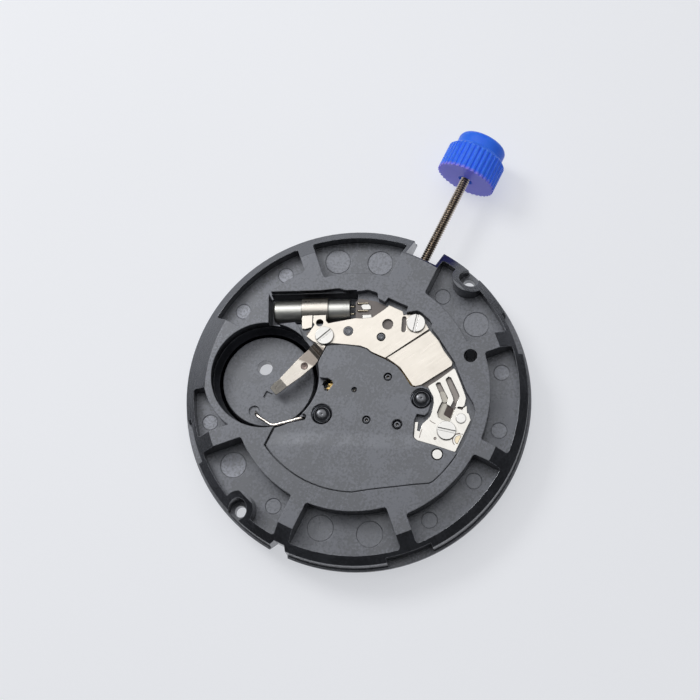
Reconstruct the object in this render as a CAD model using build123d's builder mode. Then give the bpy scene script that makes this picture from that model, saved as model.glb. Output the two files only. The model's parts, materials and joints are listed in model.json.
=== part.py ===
from build123d import *
import math
import os

# Quartz watch movement with an empty battery well, battery side up
# Millimetres. Origin on the hand axis at the dial seat, the crown points along +X
os.makedirs("parts", exist_ok=True)

# Fits that several pieces share
sheet_gap = 0.12
running_gap = 0.03
loose_gap = 0.10
overrun = 1.0

# Main plate ring
seat_radius = 15.85
flange_height = 0.45
flange_step = 0.2
rim_taper = 0.35
shoulder_radius = seat_radius - rim_taper
shoulder_height = 2.2
land_slope = 1.95
land_radius = shoulder_radius - land_slope
plate_height = 3.8
rim_cut_depth = 0.75
rim_cut_angles = [132.5, 224.5, 317.0]
rim_cut_half_angle = 7.8

# Pockets of the ring
ring_wall = 0.8
wide_pocket_width = 3.75
narrow_pocket_width = 2.6
pocket_corner_radius = 0.25
pocket_outer_radius = shoulder_radius - ring_wall
wide_pocket_inner_radius = pocket_outer_radius - wide_pocket_width
narrow_pocket_inner_radius = pocket_outer_radius - narrow_pocket_width
pocket_floor = 1.5
spoke_width = 1.45
stem_block_width = 3.6
top_spoke_width = 1.6
well_wall_width = 0.68
mark_depth = 0.06

# Levels inside the plate
seat_level = 2.95
train_floor = 1.6
coil_floor = 1.4
dial_recess_depth = 0.75
dial_cover_thickness = 0.18

# Opening for the bridge and the circuit, followed by all the sheet outlines
opening_reach = 10.0

# Battery well
well_centre_shares = (-0.225, 0.795)
well_radius = 4.875
well_disc_radius = 4.2
well_floor = 1.2
well_groove_floor = 0.9
well_hole_radius = 0.675
well_dimple_radius = 0.5
well_dimple_depth = 0.2

# Dial feet, stem cut and small holes of the plate
foot_hole_shares = (0.8836, -0.2962)
foot_hole_angle = -18.5
foot_top_radius = 0.9
foot_bore_radius = 0.525
foot_bore_depth = 1.0
foot_boss_radius = 1.5
foot_slot_width = 1.35
stem_cut_start = 13.65
stem_cut_width = 3.0
guide_hole_radius = 0.6
rim_notch_depth = 0.8
rim_notch_mouth = 1.9
rim_notch_root = 1.0

# Sheets over the seat
film_thickness = 0.1
cover_thickness = 0.25
bridge_thickness = 0.65

# Posts, pins and screws
post_radius = 0.58
post_height = 0.52
post_well_radius = 0.95
post_well_depth = 0.3
pin_radius = 0.3
pad_pin_radius = 0.42
screw_head_radius = 0.82
screw_head_height = 0.28
screw_shank_radius = 0.3
screw_length = 1.3
screw_slot_width = 0.26
screw_slot_depth = 0.13

# Going train
arbor_radius = 0.1
wheel_thickness = 0.2
arbor_low = 1.2
arbor_high = 3.3
cup_depth = 0.22
fourth_module = 0.124
fourth_teeth = 40
fifth_pinion_leaves = 8
fifth_angle = 227.7
rotor_module = 0.0989
fifth_teeth = 48
rotor_pinion_leaves = 8
rotor_angle = 286.8
third_module = 0.0825
third_teeth = 72
fourth_pinion_leaves = 6
third_angle = 316.9
centre_teeth = 60
third_pinion_leaves = 12
magnet_radius = 0.75
magnet_thickness = 0.5

# Motion work under the dial side
motion_module = 0.15
cannon_leaves = 12
minute_teeth = 36
minute_pinion_leaves = 10
hour_teeth = 40
setting_teeth = 17
minute_angle = 46.1
motion_wheel_thickness = 0.18
hour_pipe_radius = 0.75
hour_hub_radius = 0.92
cannon_radius = 0.45
centre_pipe_radius = 0.3
hour_pipe_end = -0.95
cannon_end = -1.3
seconds_end = -1.75
stud_radius = 0.22

# Tooth form
addendum_share = 0.9
dedendum_share = 1.2
wheel_tooth_shares = (0.27, 0.23, 0.1)
leaf_shares = (0.22, 0.19, 0.08)

# Stepping motor
coil_radius = 0.65
coil_length = 5.2
core_width = 0.8
core_thickness = 0.3
stator_thickness = 0.4
stator_ring = 0.3

# Stem, crown and keyless work
stem_level = 1.4
stem_thread_radius = 0.45
stem_body_radius = 0.55
stem_square = 0.5
stem_groove_radius = 0.28
stem_inner_end = 6.3
stem_pull = 0.9
clutch_start = 7.0
clutch_length = 0.9
clutch_radius = 0.75
clutch_groove_radius = 0.5
clutch_groove_width = 0.34
lever_pin_radius = 0.2
lever_arm = 2.25
lever_thickness = 0.2
lever_width = 0.8
crown_start = 23.2
crown_radius = 2.85
crown_knurl_length = 2.95
crown_cap_radius = 2.35
crown_cap_length = 1.3
crown_flutes = 36
flute_radius = 0.15
crown_edge = 0.45
crown_bore_depth = 1.4
crown_mouth_radius = 0.65
crown_mouth_depth = 0.5

# Crystal
crystal_angle = -63.43
crystal_radius = 1.0
crystal_length = 7.05
crystal_level = 2.2
crystal_start_shares = (0.368, 1.023)
crystal_head_gap = 0.3
crystal_foot_gap = 0.75
film_foot_gap = 0.5
lead_radius = 0.09
chip_width = 1.3
chip_thickness = 0.3

# Battery contact wire
wire_radius = 0.105


def polar(radius, angle):
    turn = math.radians(angle)
    return (radius * math.cos(turn), radius * math.sin(turn))


def shift(place, radius, angle):
    step = polar(radius, angle)
    return (place[0] + step[0], place[1] + step[1])


def placed(shares, size=opening_reach):
    return [(x * size, y * size) for x, y in shares]


def gear_points(teeth, module, phase, shares):
    root_share, flank_share, tip_share = shares
    flank = teeth * module / 2
    tip = flank + addendum_share * module
    root = flank - dedendum_share * module
    pitch = 360 / teeth
    corners = [(root, -root_share), (flank, -flank_share), (tip, -tip_share)]
    corners += [(radius, -share) for radius, share in reversed(corners)]
    points = []
    for tooth in range(teeth):
        for radius, share in corners:
            points.append(polar(radius, phase + (tooth + share) * pitch))
    return points


# Axes of the wheels, each a mesh away from the last
hand_axis = (0, 0)
fifth_distance = fourth_module * (fourth_teeth + fifth_pinion_leaves) / 2
fifth_axis = shift(hand_axis, fifth_distance, fifth_angle)
rotor_distance = rotor_module * (fifth_teeth + rotor_pinion_leaves) / 2
rotor_axis = shift(fifth_axis, rotor_distance, rotor_angle)
third_distance = third_module * (third_teeth + fourth_pinion_leaves) / 2
third_axis = shift(hand_axis, third_distance, third_angle)
centre_module = 2 * third_distance / (centre_teeth + third_pinion_leaves)
minute_distance = motion_module * (cannon_leaves + minute_teeth) / 2
minute_axis = shift(hand_axis, minute_distance, minute_angle)
hour_module = 2 * minute_distance / (hour_teeth + minute_pinion_leaves)
setting_distance = motion_module * (minute_teeth + setting_teeth) / 2
setting_reach = math.sqrt(setting_distance ** 2 - minute_axis[1] ** 2)
setting_axis = (minute_axis[0] + setting_reach, 0)


def tip_radius(teeth, module):
    return module * (teeth / 2 + addendum_share)


# Levels of the train, from the floor up
centre_level = train_floor + running_gap * 2
third_level = centre_level + wheel_thickness + running_gap * 5
fourth_level = third_level + wheel_thickness + running_gap * 5
fifth_level = fourth_level + wheel_thickness + running_gap * 5
hour_level = dial_cover_thickness + running_gap * 2
minute_level = hour_level + motion_wheel_thickness + running_gap * 3
cover_level = seat_level + film_thickness
cover_top = cover_level + cover_thickness
bridge_top = seat_level + bridge_thickness
web_level = dial_recess_depth

# Places on the seat, as shares of the opening's reach
bridge_post_shares = [(-0.325, 0.165), (0.185, -0.575)]
screw_shares = [(0.34, 0.475), (0.797, -0.227), (0.02, -0.9)]
screw_turns = [-24.0, 13.0, -77.0]
pad_pin_shares = (0.473, 0.3)
dome_pin_shares = (0.55, 0.005)
sight_hole_shares = (0.683, 0.003)
sight_hole_radius = 0.5
steel_pin_shares = (-0.21, -0.92)
steel_pin_radius = 0.43
rivet_shares = (0.175, -0.968)
rivet_radius = 0.42
guide_hole_shares = (0.722, -0.805)
chip_shares = (0.53, 0.165)

bridge_posts = placed(bridge_post_shares)
screw_places = placed(screw_shares)
pad_pin = placed([pad_pin_shares])[0]
dome_pin = placed([dome_pin_shares])[0]
sight_hole = placed([sight_hole_shares])[0]
steel_pin = placed([steel_pin_shares])[0]
rivet_place = placed([rivet_shares])[0]
chip_place = placed([chip_shares])[0]
well_centre = placed([well_centre_shares])[0]
foot_hole = placed([foot_hole_shares], seat_radius)[0]
foot_holes = [foot_hole, (-foot_hole[0], -foot_hole[1])]
crystal_start = placed([crystal_start_shares])[0]
crystal_end = shift(crystal_start, crystal_length, crystal_angle)

# Edge of the opening, counter-clockwise from the stem block
edge_stem_shares = [(0.9, 0.1), (0.85, 0.11), (0.855, 0.18), (0.9, 0.21), (0.89, 0.3), (0.81, 0.42)]
edge_crystal_shares = [(0.79, 0.55), (0.7, 0.695), (0.488, 1.119), (0.2, 0.975), (0.33, 0.77)]
edge_well_shares = [(0.31, 0.72), (0.265, 0.67), (0.22, 0.62), (-0.62, 0.5), (-0.8, 0.5)]
edge_left_arc_shares = [(-0.8, 0.5), (-0.93, 0.03), (-0.84, -0.4)]
edge_lower_shares = [(-0.84, -0.4), (-0.75, -0.53), (-0.55, -0.85), (-0.48, -0.97), (-0.45, -0.995)]
edge_bottom_arc_shares = [(-0.45, -0.995), (-0.1, -1.085), (0.28, -1.06)]
edge_right_shares = [(0.28, -1.06), (0.34, -1.01), (0.4, -0.92), (0.55, -0.76), (0.61, -0.7)]
edge_block_shares = [(0.75, -0.48), (0.805, -0.38), (0.845, -0.365), (0.87, -0.33), (0.9, -0.23)]
edge_end_shares = [(0.9, -0.19), (0.845, -0.11), (0.9, -0.1), (0.9, 0.1)]


def opening_sketch():
    before_arc = placed(edge_stem_shares + edge_crystal_shares + edge_well_shares)
    after_arc = placed(edge_right_shares + edge_block_shares + edge_end_shares)
    with BuildSketch() as opening:
        with BuildLine():
            Polyline(*before_arc)
            ThreePointArc(*placed(edge_left_arc_shares))
            Polyline(*placed(edge_lower_shares))
            ThreePointArc(*placed(edge_bottom_arc_shares))
            Polyline(*after_arc)
        make_face()
    return opening.sketch


opening_edge = opening_sketch()

# Crystal pocket, along the can
crystal_pocket_floor = crystal_level - crystal_radius
crystal_pocket_length = crystal_length + crystal_head_gap + crystal_foot_gap
crystal_pocket_middle = (crystal_length + crystal_foot_gap - crystal_head_gap) / 2
crystal_pocket_width = 2 * crystal_radius + 9 * loose_gap

# Cavities of the train: axis, radius and floor of each round
train_rounds = [
    (hand_axis, tip_radius(fourth_teeth, fourth_module) + loose_gap, train_floor),
    (hand_axis, tip_radius(centre_teeth, centre_module) + loose_gap, train_floor),
    (fifth_axis, tip_radius(fifth_teeth, rotor_module) + loose_gap, train_floor),
    (third_axis, tip_radius(third_teeth, third_module) + loose_gap, train_floor),
]
motor_hollow_shares = [(-0.785, 0.34), (-0.56, 0.34), (-0.49, 0.29), (-0.43, 0.26), (-0.43, -0.1), (-0.1, -0.35)]
motor_hollow_shares += [(0.04, -0.45), (0.04, -0.59), (-0.2, -0.64), (-0.66, -0.6), (-0.785, -0.42)]
motion_rounds = [
    (hand_axis, tip_radius(hour_teeth, hour_module) + loose_gap),
    (minute_axis, tip_radius(minute_teeth, motion_module) + loose_gap),
    (setting_axis, tip_radius(setting_teeth, motion_module) + loose_gap),
]

# Keyless work, placed along the stem
clutch_end = clutch_start + clutch_length
lever_pin_x = clutch_end + stem_pull
lever_pin_rest = (lever_pin_x, 0)
lever_half_swing = math.degrees(math.asin(stem_pull / 2 / lever_arm))
lever_pivot = (lever_pin_x + stem_pull / 2, -lever_arm * math.cos(math.radians(lever_half_swing)))
lever_level = stem_level + stem_body_radius + running_gap * 2
keyless_roof = lever_level + lever_thickness + loose_gap * 1.5
yoke_level = stem_level - lever_thickness / 2
yoke_anchor = (clutch_start - clutch_radius, -clutch_radius * 3.2)
yoke_anchor_radius = 0.5
yoke_margin = 0.6
dial_cover_margin = 0.35

# Pockets of the ring: first spoke, its half width, second spoke, its half width, inner radius
half_spoke = spoke_width / 2
half_block = stem_block_width / 2
half_top = top_spoke_width / 2
ring_pockets = [
    (0, half_block, 45, half_spoke, wide_pocket_inner_radius),
    (45, half_spoke, 90, half_top, narrow_pocket_inner_radius),
    (135, half_spoke, 180, half_spoke, wide_pocket_inner_radius),
    (180, half_spoke, 225, half_spoke, wide_pocket_inner_radius),
    (225, half_spoke, 270, half_spoke, narrow_pocket_inner_radius),
    (270, half_spoke, 315, half_spoke, narrow_pocket_inner_radius),
    (315, half_spoke, 360, half_block, wide_pocket_inner_radius),
]
well_pocket_angle = 114.5
well_pocket_inner_radius = 9.0

# Round marks on the pocket floors, as shares of the pocket's outer radius
mark_radius_small = 0.72
mark_radius_large = 1.18
small_mark_shares = [(-0.838, 0.147), (-0.502, -0.742), (-0.172, -0.880), (0.175, -0.887)]
small_mark_shares += [(0.512, -0.749), (0.803, -0.210), (0.510, 0.756), (0.181, 0.891)]
small_mark_shares += [(-0.546, 0.744)]
large_mark_shares = [(-0.720, 0.487), (-0.832, -0.172), (-0.735, -0.457), (0.727, -0.477)]
large_mark_shares += [(0.838, 0.245), (0.734, 0.494)]

# Window over the fourth wheel's teeth, as shares of the opening's reach
tooth_window_shares = [(-0.085, 0.295), (-0.1, 0.22), (-0.02, 0.2), (-0.03, 0.295)]

# Small places in the well, the wire's route over it and the motor's coil
well_hole_shares = (-0.124, 0.882)
well_recess_shares = (-0.345, 0.739)
well_recess_width = 0.65
wire_route_shares = [(-0.53, 0.785), (-0.57, 0.72), (-0.58, 0.55), (-0.515, 0.43), (-0.42, 0.305)]
wire_levels = [1.25, 1.75, 2.3, 3.0, 3.3]
wire_foot_drop = 1.2
wire_notch_width = 0.6
coil_shares = (-0.7, -0.03)
coil_centre = placed([coil_shares])[0]
steel_pin_length = 1.3
rivet_shank_radius = 0.25

# Hollows of the keyless work on the dial side
lever_hollow = [
    (clutch_end + loose_gap, stem_body_radius + loose_gap),
    (clutch_end + loose_gap, -clutch_radius),
    (lever_pivot[0] - lever_width, lever_pivot[1]),
    (lever_pivot[0] - lever_width, lever_pivot[1] - lever_width),
    (lever_pivot[0] + lever_width, lever_pivot[1] - lever_width),
    (lever_pivot[0] + lever_width, stem_body_radius + loose_gap),
]
yoke_hollow = [
    (clutch_end + loose_gap, -clutch_radius),
    (clutch_end + loose_gap, yoke_anchor[1] + lever_width / 2),
    (yoke_anchor[0] + lever_width, yoke_anchor[1] - lever_width),
    (yoke_anchor[0] - yoke_margin, yoke_anchor[1] - lever_width),
    (yoke_anchor[0] - yoke_margin, yoke_anchor[1] + lever_width),
    (clutch_start - loose_gap, -clutch_radius),
]
dial_screw_radius = 0.25
dial_screw_length = 0.75
dial_screw_head_radius = 0.5
dial_screw_head_height = 0.09
dial_screw_shares = [(-0.364, 0.0), (0.25, 0.61), (1.07, -0.1)]
dial_screw_places = placed(dial_screw_shares)


def sector_lines(first, first_half, second, second_half, inner, outer):
    start_out = first + math.degrees(math.asin(first_half / outer))
    start_in = first + math.degrees(math.asin(first_half / inner))
    end_out = second - math.degrees(math.asin(second_half / outer))
    end_in = second - math.degrees(math.asin(second_half / inner))
    middle = (first + second) / 2
    with BuildLine() as sector:
        ThreePointArc(polar(outer, start_out), polar(outer, middle), polar(outer, end_out))
        Line(polar(outer, end_out), polar(inner, end_in))
        ThreePointArc(polar(inner, end_in), polar(inner, middle), polar(inner, start_in))
        Line(polar(inner, start_in), polar(outer, start_out))
    return sector.line


def pocket_sketch(first, first_half, second, second_half, inner, outer):
    edges = sector_lines(first, first_half, second, second_half, inner, outer).edges()
    with BuildSketch() as pocket:
        add(make_face(edges, mode=Mode.PRIVATE))
        fillet(pocket.vertices(), pocket_corner_radius)
    return pocket.sketch


def dial_cover_sketch():
    with BuildSketch() as edge:
        Circle(motion_rounds[0][1] + 3 * dial_cover_margin)
        with Locations(minute_axis):
            Circle(motion_rounds[1][1] + 3 * dial_cover_margin)
        with Locations(((setting_axis[0] + dial_screw_places[2][0]) / 2, lever_pivot[1] / 2)):
            Rectangle(
                dial_screw_places[2][0] - setting_axis[0] + 4 * dial_cover_margin,
                -lever_pivot[1] + 2 * lever_width + 2 * clutch_radius,
            )
    return edge.sketch


dial_cover_edge = dial_cover_sketch()

# Stator and coil along the left side
core_length = 7.2
stator_low_shares = [(-0.74, -0.3), (-0.74, -0.42), (-0.64, -0.545), (-0.2, -0.585), (-0.12, -0.485)]
stator_low_shares += [(-0.55, -0.445), (-0.66, -0.36), (-0.66, -0.3)]
stator_high_shares = [(-0.74, 0.33), (-0.74, 0.24), (-0.57, 0.24), (-0.57, -0.31), (-0.2, -0.46)]
stator_high_shares += [(-0.15, -0.39), (-0.47, -0.24), (-0.47, 0.26), (-0.5, 0.28), (-0.56, 0.33)]
coil_level = train_floor + stator_thickness + core_thickness / 2
magnet_level = train_floor + 2 * running_gap
pinion_height = wheel_thickness * 2
fourth_pinion_low = fourth_level - pinion_height
fifth_pinion_low = fifth_level - pinion_height
third_pinion_low = third_level - pinion_height + running_gap * 2
rotor_pinion_low = fifth_level - running_gap
rotor_pinion_height = wheel_thickness + 2 * running_gap

# Crystal ends and leads
crystal_edge_radius = 0.25
crystal_lip_radius = 0.04
crystal_wall = 0.1
crystal_base_depth = 0.5
lead_spread = 0.35
lead_reach = 0.4
lead_length = 1.7

# Wire bends and clutch teeth
wire_bend_radius = 0.25
clutch_teeth = 9
clutch_tooth_gap = 0.2
crown_cap_edge = 0.6

# Sheet outlines, as shares of the opening's reach
bridge_shares = [(-1.1, 0.49), (-0.45, 0.49), (-0.095, 0.4), (-0.085, 0.265), (-0.12, 0.24), (-0.115, 0.21)]
bridge_shares += [(-0.035, 0.195), (-0.01, 0.22), (-0.005, 0.26), (-0.03, 0.33), (-0.035, 0.4)]
bridge_shares += [(0.13, 0.41), (0.26, 0.405), (0.285, 0.365), (0.33, 0.28), (0.375, 0.14), (0.385, 0.07)]
bridge_shares += [(0.37, 0.01), (0.37, -0.13), (0.36, -0.24), (0.32, -0.33), (0.25, -0.44), (0.25, -0.47)]
bridge_shares += [(0.29, -0.53), (0.295, -0.59), (0.24, -0.66), (0.1, -0.685), (0.06, -0.67), (0.04, -0.6)]
bridge_shares += [(-0.02, -0.605), (-0.16, -0.66), (-0.175, -0.7), (-0.15, -0.85), (-0.13, -1.02), (-0.12, -1.12)]
bridge_shares += [(-1.1, -1.12)]
cover_shares = [(0.39, -0.115), (0.387, 0.02), (0.4, 0.07), (0.395, 0.14), (0.36, 0.24), (0.31, 0.38)]
cover_shares += [(0.275, 0.44), (0.25, 0.455), (0.25, 0.55), (0.265, 0.62), (0.36, 0.61), (0.395, 0.605)]
cover_shares += [(0.41, 0.63), (0.471, 0.655), (0.523, 0.553), (0.475, 0.53), (0.46, 0.5), (0.61, 0.295)]
cover_shares += [(0.635, 0.235), (0.685, 0.155), (0.81, 0.085), (0.85, 0.07), (0.85, -0.065), (0.82, -0.09), (0.845, -0.125)]
cover_shares += [(0.87, -0.19), (0.86, -0.25), (0.83, -0.31), (0.8, -0.355)]
tab_shares = [(0.325, 0.665), (0.315, 0.695), (0.4, 0.74), (0.425, 0.745), (0.47, 0.665), (0.405, 0.635)]
tab_shares += [(0.365, 0.62)]
shield_shares = [(0.395, -0.13), (0.38, -0.22), (0.365, -0.28), (0.33, -0.34), (0.265, -0.45), (0.27, -0.475)]
shield_shares += [(0.3, -0.515), (0.575, -0.685), (0.59, -0.685), (0.61, -0.68), (0.67, -0.57), (0.74, -0.48)]
shield_shares += [(0.79, -0.37)]
contact_shares = [(-0.178, -0.675), (-0.165, -0.66), (-0.03, -0.61), (-0.015, -0.64), (-0.09, -0.665)]
contact_shares += [(-0.085, -0.69), (-0.015, -0.68), (0.03, -0.7), (0.075, -0.715), (0.12, -0.71), (0.2, -0.69)]
contact_shares += [(0.25, -0.66), (0.285, -0.61), (0.305, -0.585), (0.32, -0.58), (0.4, -0.63), (0.562, -0.715)]
contact_shares += [(0.56, -0.73), (0.475, -0.82), (0.39, -0.905), (0.36, -0.93), (0.295, -0.945), (0.275, -0.935)]
contact_shares += [(0.265, -0.905), (0.245, -0.89), (0.25, -0.945), (0.29, -0.955), (0.3, -0.965), (0.245, -0.995)]
contact_shares += [(0.245, -1.01), (0.2, -1.05), (-0.115, -1.05), (-0.13, -1.02), (-0.15, -0.87), (-0.16, -0.8)]
contact_window_shares = [(0.362, -0.63), (0.385, -0.638), (0.395, -0.66), (0.33, -0.74), (0.295, -0.785)]
contact_window_shares += [(0.24, -0.798), (0.235, -0.838), (0.295, -0.838), (0.32, -0.82), (0.435, -0.695)]
contact_window_shares += [(0.45, -0.693), (0.475, -0.705), (0.475, -0.73), (0.375, -0.85), (0.35, -0.872)]
contact_window_shares += [(0.28, -0.875), (0.24, -0.885), (0.12, -0.892), (0.102, -0.885), (0.095, -0.82)]
contact_window_shares += [(0.1, -0.78), (0.135, -0.752), (0.19, -0.748), (0.245, -0.75), (0.305, -0.695)]
film_shares = [(0.39, -0.12), (0.38, -0.22), (0.345, -0.33), (0.275, -0.45), (0.3, -0.52), (0.305, -0.6)]
film_shares += [(0.25, -0.69), (0.1, -0.71), (0.05, -0.7), (-0.12, -0.72), (-0.1, -1.0), (0.2, -1.02)]
film_shares += [(0.28, -0.96), (0.4, -0.86), (0.54, -0.735), (0.6, -0.66), (0.7, -0.51), (0.78, -0.365)]
film_shares += [(0.84, -0.25), (0.835, -0.13), (0.84, 0.2), (0.8, 0.35), (0.75, 0.365), (0.61, 0.295)]
film_shares += [(0.5, 0.38), (0.42, 0.46), (0.38, 0.56), (0.3, 0.65), (0.26, 0.6), (0.26, 0.46), (0.31, 0.38)]
film_shares += [(0.36, 0.24), (0.395, 0.14), (0.4, 0.07)]
bend_hole_shares = (0.432, 0.572)
bend_hole = placed([bend_hole_shares])[0]
bend_hole_radius = 0.34
cover_slot_shares = (0.745, -0.13)
cover_slot_place = placed([cover_slot_shares])[0]
cover_slot_angle = 22.0
cover_slot_length = 1.5
cover_slot_width = 0.4
clamp_inner_radius = crystal_radius + running_gap
clamp_thickness = 0.2
clamp_start = 2.65
clamp_length = 2.4
clamp_drop = 0.25

# Strap over the battery well
strap_root_shares = (0.275, 0.452)
strap_angle = 157.2
strap_length = 6.3
strap_width = 2.4
strap_thickness = 0.12
strap_edge_shares = [(0.275, 0.53), (0.26, 0.425), (0.13, 0.425), (0.064, 0.435), (-0.09, 0.505), (-0.19, 0.565)]
strap_edge_shares += [(-0.28, 0.615), (-0.331, 0.652), (-0.316, 0.727), (-0.25, 0.715), (-0.19, 0.68), (0.064, 0.595)]
strap_edge_shares += [(0.16, 0.555)]
strap_shares = [(0, 0.99), (0.08, 0.98), (0.13, 0.93), (0.17, 0.99), (0.22, 0.95), (0.4, 0.93)]
strap_shares += [(0.8, 0.83), (1, 0.72)]

# Oil cups over the pivots
pivot_cups = [(hand_axis, 0.25), (fifth_axis, 0.375), (third_axis, 0.375), (rotor_axis, 0.475)]


def bridge_sketch():
    with BuildSketch() as edge:
        add(opening_edge)
        offset(amount=-sheet_gap)
        with BuildLine():
            Polyline(*placed(bridge_shares), close=True)
        make_face(mode=Mode.INTERSECT)
        with Locations(well_centre):
            Circle(well_radius + sheet_gap, mode=Mode.SUBTRACT)
        wire_bend, wire_end = placed(wire_route_shares)[-2:]
        slot_middle = ((wire_bend[0] + wire_end[0]) / 2, (wire_bend[1] + wire_end[1]) / 2)
        SlotCenterPoint(slot_middle, wire_end, wire_notch_width, mode=Mode.SUBTRACT)
    return edge.sketch


bridge_edge = bridge_sketch()


def bridge_clear_sketch():
    with BuildSketch() as edge:
        add(bridge_edge)
        offset(amount=sheet_gap / 2)
    return edge.sketch


bridge_clear = bridge_clear_sketch()


def main_plate():
    plate_profile = [(0, 0), (seat_radius, 0), (seat_radius, flange_height)]
    plate_profile += [(seat_radius - flange_step, flange_height), (shoulder_radius, shoulder_height)]
    plate_profile += [(land_radius, plate_height), (0, plate_height)]
    with BuildPart() as plate:
        with BuildSketch(Plane.XZ):
            with BuildLine():
                Polyline(*plate_profile, close=True)
            make_face()
        revolve(axis=Axis.Z)
        # Shallow cuts round the rim, above the flange
        with BuildSketch(Plane.XY.offset(flange_height)):
            for angle in rim_cut_angles:
                before = angle - rim_cut_half_angle
                after = angle + rim_cut_half_angle
                rim_cut = sector_lines(before, 0, after, 0, seat_radius - rim_cut_depth, seat_radius + overrun)
                add(make_face(rim_cut.edges(), mode=Mode.PRIVATE))
        extrude(amount=plate_height, mode=Mode.SUBTRACT)
        # Rim notch and the cut for the stem
        with BuildSketch():
            with Locations((stem_cut_start + seat_radius / 2, 0)):
                Rectangle(seat_radius, stem_cut_width)
            with BuildLine():
                Polyline(
                    (-seat_radius, -rim_notch_mouth / 2),
                    (-seat_radius + rim_notch_depth, -rim_notch_root / 2),
                    (-seat_radius + rim_notch_depth, rim_notch_root / 2),
                    (-seat_radius, rim_notch_mouth / 2),
                    close=True,
                )
            make_face()
        extrude(amount=plate_height, mode=Mode.SUBTRACT)
        # Pockets of the ring, clear of the dial foot bosses
        with BuildSketch(Plane.XY.offset(pocket_floor)):
            for pocket in ring_pockets:
                add(pocket_sketch(*pocket, pocket_outer_radius))
            with Locations(*foot_holes):
                Circle(foot_boss_radius, mode=Mode.SUBTRACT)
        extrude(amount=plate_height, mode=Mode.SUBTRACT)
        with BuildSketch(Plane.XY.offset(pocket_floor)):
            add(pocket_sketch(well_pocket_angle, 0, 135, half_spoke, well_pocket_inner_radius, pocket_outer_radius))
            with Locations(well_centre):
                Circle(well_radius + well_wall_width, mode=Mode.SUBTRACT)
        extrude(amount=plate_height, mode=Mode.SUBTRACT)
        # Round marks on the pocket floors
        with BuildSketch(Plane.XY.offset(pocket_floor - mark_depth)):
            with Locations(*placed(small_mark_shares, pocket_outer_radius)):
                Circle(mark_radius_small)
            with Locations(*placed(large_mark_shares, pocket_outer_radius)):
                Circle(mark_radius_large)
        extrude(amount=mark_depth, mode=Mode.SUBTRACT)
        # Dial foot holes, open to the rim above
        with BuildSketch(Plane.XY.offset(foot_bore_depth)):
            with Locations(*foot_holes):
                Circle(foot_top_radius)
            for place, angle in zip(foot_holes, (foot_hole_angle, foot_hole_angle + 180)):
                with Locations(Location(shift(place, foot_boss_radius, angle), angle)):
                    Rectangle(2 * foot_boss_radius, foot_slot_width)
        extrude(amount=plate_height, mode=Mode.SUBTRACT)
        with BuildSketch():
            with Locations(*foot_holes):
                Circle(foot_bore_radius)
            with Locations(*placed([guide_hole_shares])):
                Circle(guide_hole_radius)
        extrude(amount=plate_height, mode=Mode.SUBTRACT)
        # Opening down to the seat, battery well and crystal pocket
        with BuildSketch(Plane.XY.offset(seat_level)):
            add(opening_edge)
        extrude(amount=plate_height, mode=Mode.SUBTRACT)
        with BuildSketch(Plane.XY.offset(well_floor)):
            with Locations(well_centre):
                Circle(well_radius)
        extrude(amount=plate_height, mode=Mode.SUBTRACT)
        with BuildSketch(Plane.XY.offset(well_groove_floor)):
            with Locations(well_centre):
                Circle(well_radius)
                Circle(well_disc_radius, mode=Mode.SUBTRACT)
        extrude(amount=plate_height, mode=Mode.SUBTRACT)
        with BuildSketch():
            with Locations(*placed([well_hole_shares])):
                Circle(well_hole_radius)
        extrude(amount=plate_height, mode=Mode.SUBTRACT)
        with BuildSketch(Plane.XY.offset(well_floor - well_dimple_depth)):
            with Locations(*placed([wire_route_shares[0]])):
                Circle(well_dimple_radius)
            with Locations(*placed([well_recess_shares])):
                Rectangle(well_recess_width, well_recess_width)
        extrude(amount=plate_height, mode=Mode.SUBTRACT)
        with BuildSketch(Plane.XY.offset(crystal_pocket_floor)):
            with Locations(Location(shift(crystal_start, crystal_pocket_middle, crystal_angle), crystal_angle)):
                Rectangle(crystal_pocket_length, crystal_pocket_width)
        extrude(amount=plate_height, mode=Mode.SUBTRACT)
        with BuildSketch(Plane.XY.offset(wire_levels[-1] - wire_foot_drop - wire_radius)):
            with Locations(placed(wire_route_shares)[-1]):
                Circle(wire_radius + running_gap)
        extrude(amount=plate_height, mode=Mode.SUBTRACT)
        # Hollows of the train and the motor
        for axis, radius, floor in train_rounds:
            with BuildSketch(Plane.XY.offset(floor)):
                with Locations(axis):
                    Circle(radius)
            extrude(amount=plate_height, mode=Mode.SUBTRACT)
        with BuildSketch(Plane.XY.offset(train_floor)):
            with BuildLine():
                Polyline(*placed(motor_hollow_shares), close=True)
            make_face()
            with Locations(rotor_axis):
                Circle(magnet_radius + stator_ring + loose_gap * 3)
        extrude(amount=plate_height, mode=Mode.SUBTRACT)
        with BuildSketch(Plane.XY.offset(train_floor)):
            with BuildLine():
                Polyline(*placed(tooth_window_shares), close=True)
            make_face()
        extrude(amount=plate_height, mode=Mode.SUBTRACT)
        with BuildSketch(Plane.XY.offset(coil_floor)):
            with Locations(coil_centre):
                Rectangle(2 * coil_radius + 3 * loose_gap, coil_length + 3 * loose_gap)
        extrude(amount=plate_height, mode=Mode.SUBTRACT)
        with BuildSketch(Plane.XY.offset(seat_level - chip_thickness - running_gap)):
            with Locations(chip_place):
                Rectangle(chip_width + 2 * loose_gap, chip_width + 2 * loose_gap)
        extrude(amount=plate_height, mode=Mode.SUBTRACT)
        # Posts and pins that stand on the seat
        with BuildSketch(Plane.XY.offset(web_level)):
            with Locations(*bridge_posts):
                Circle(post_radius)
        extrude(amount=seat_level + post_height - web_level)
        with BuildSketch(Plane.XY.offset(train_floor)):
            with Locations(dome_pin):
                Circle(pin_radius)
            with Locations(pad_pin):
                Circle(pad_pin_radius)
        extrude(amount=cover_top + running_gap - train_floor)
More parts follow.
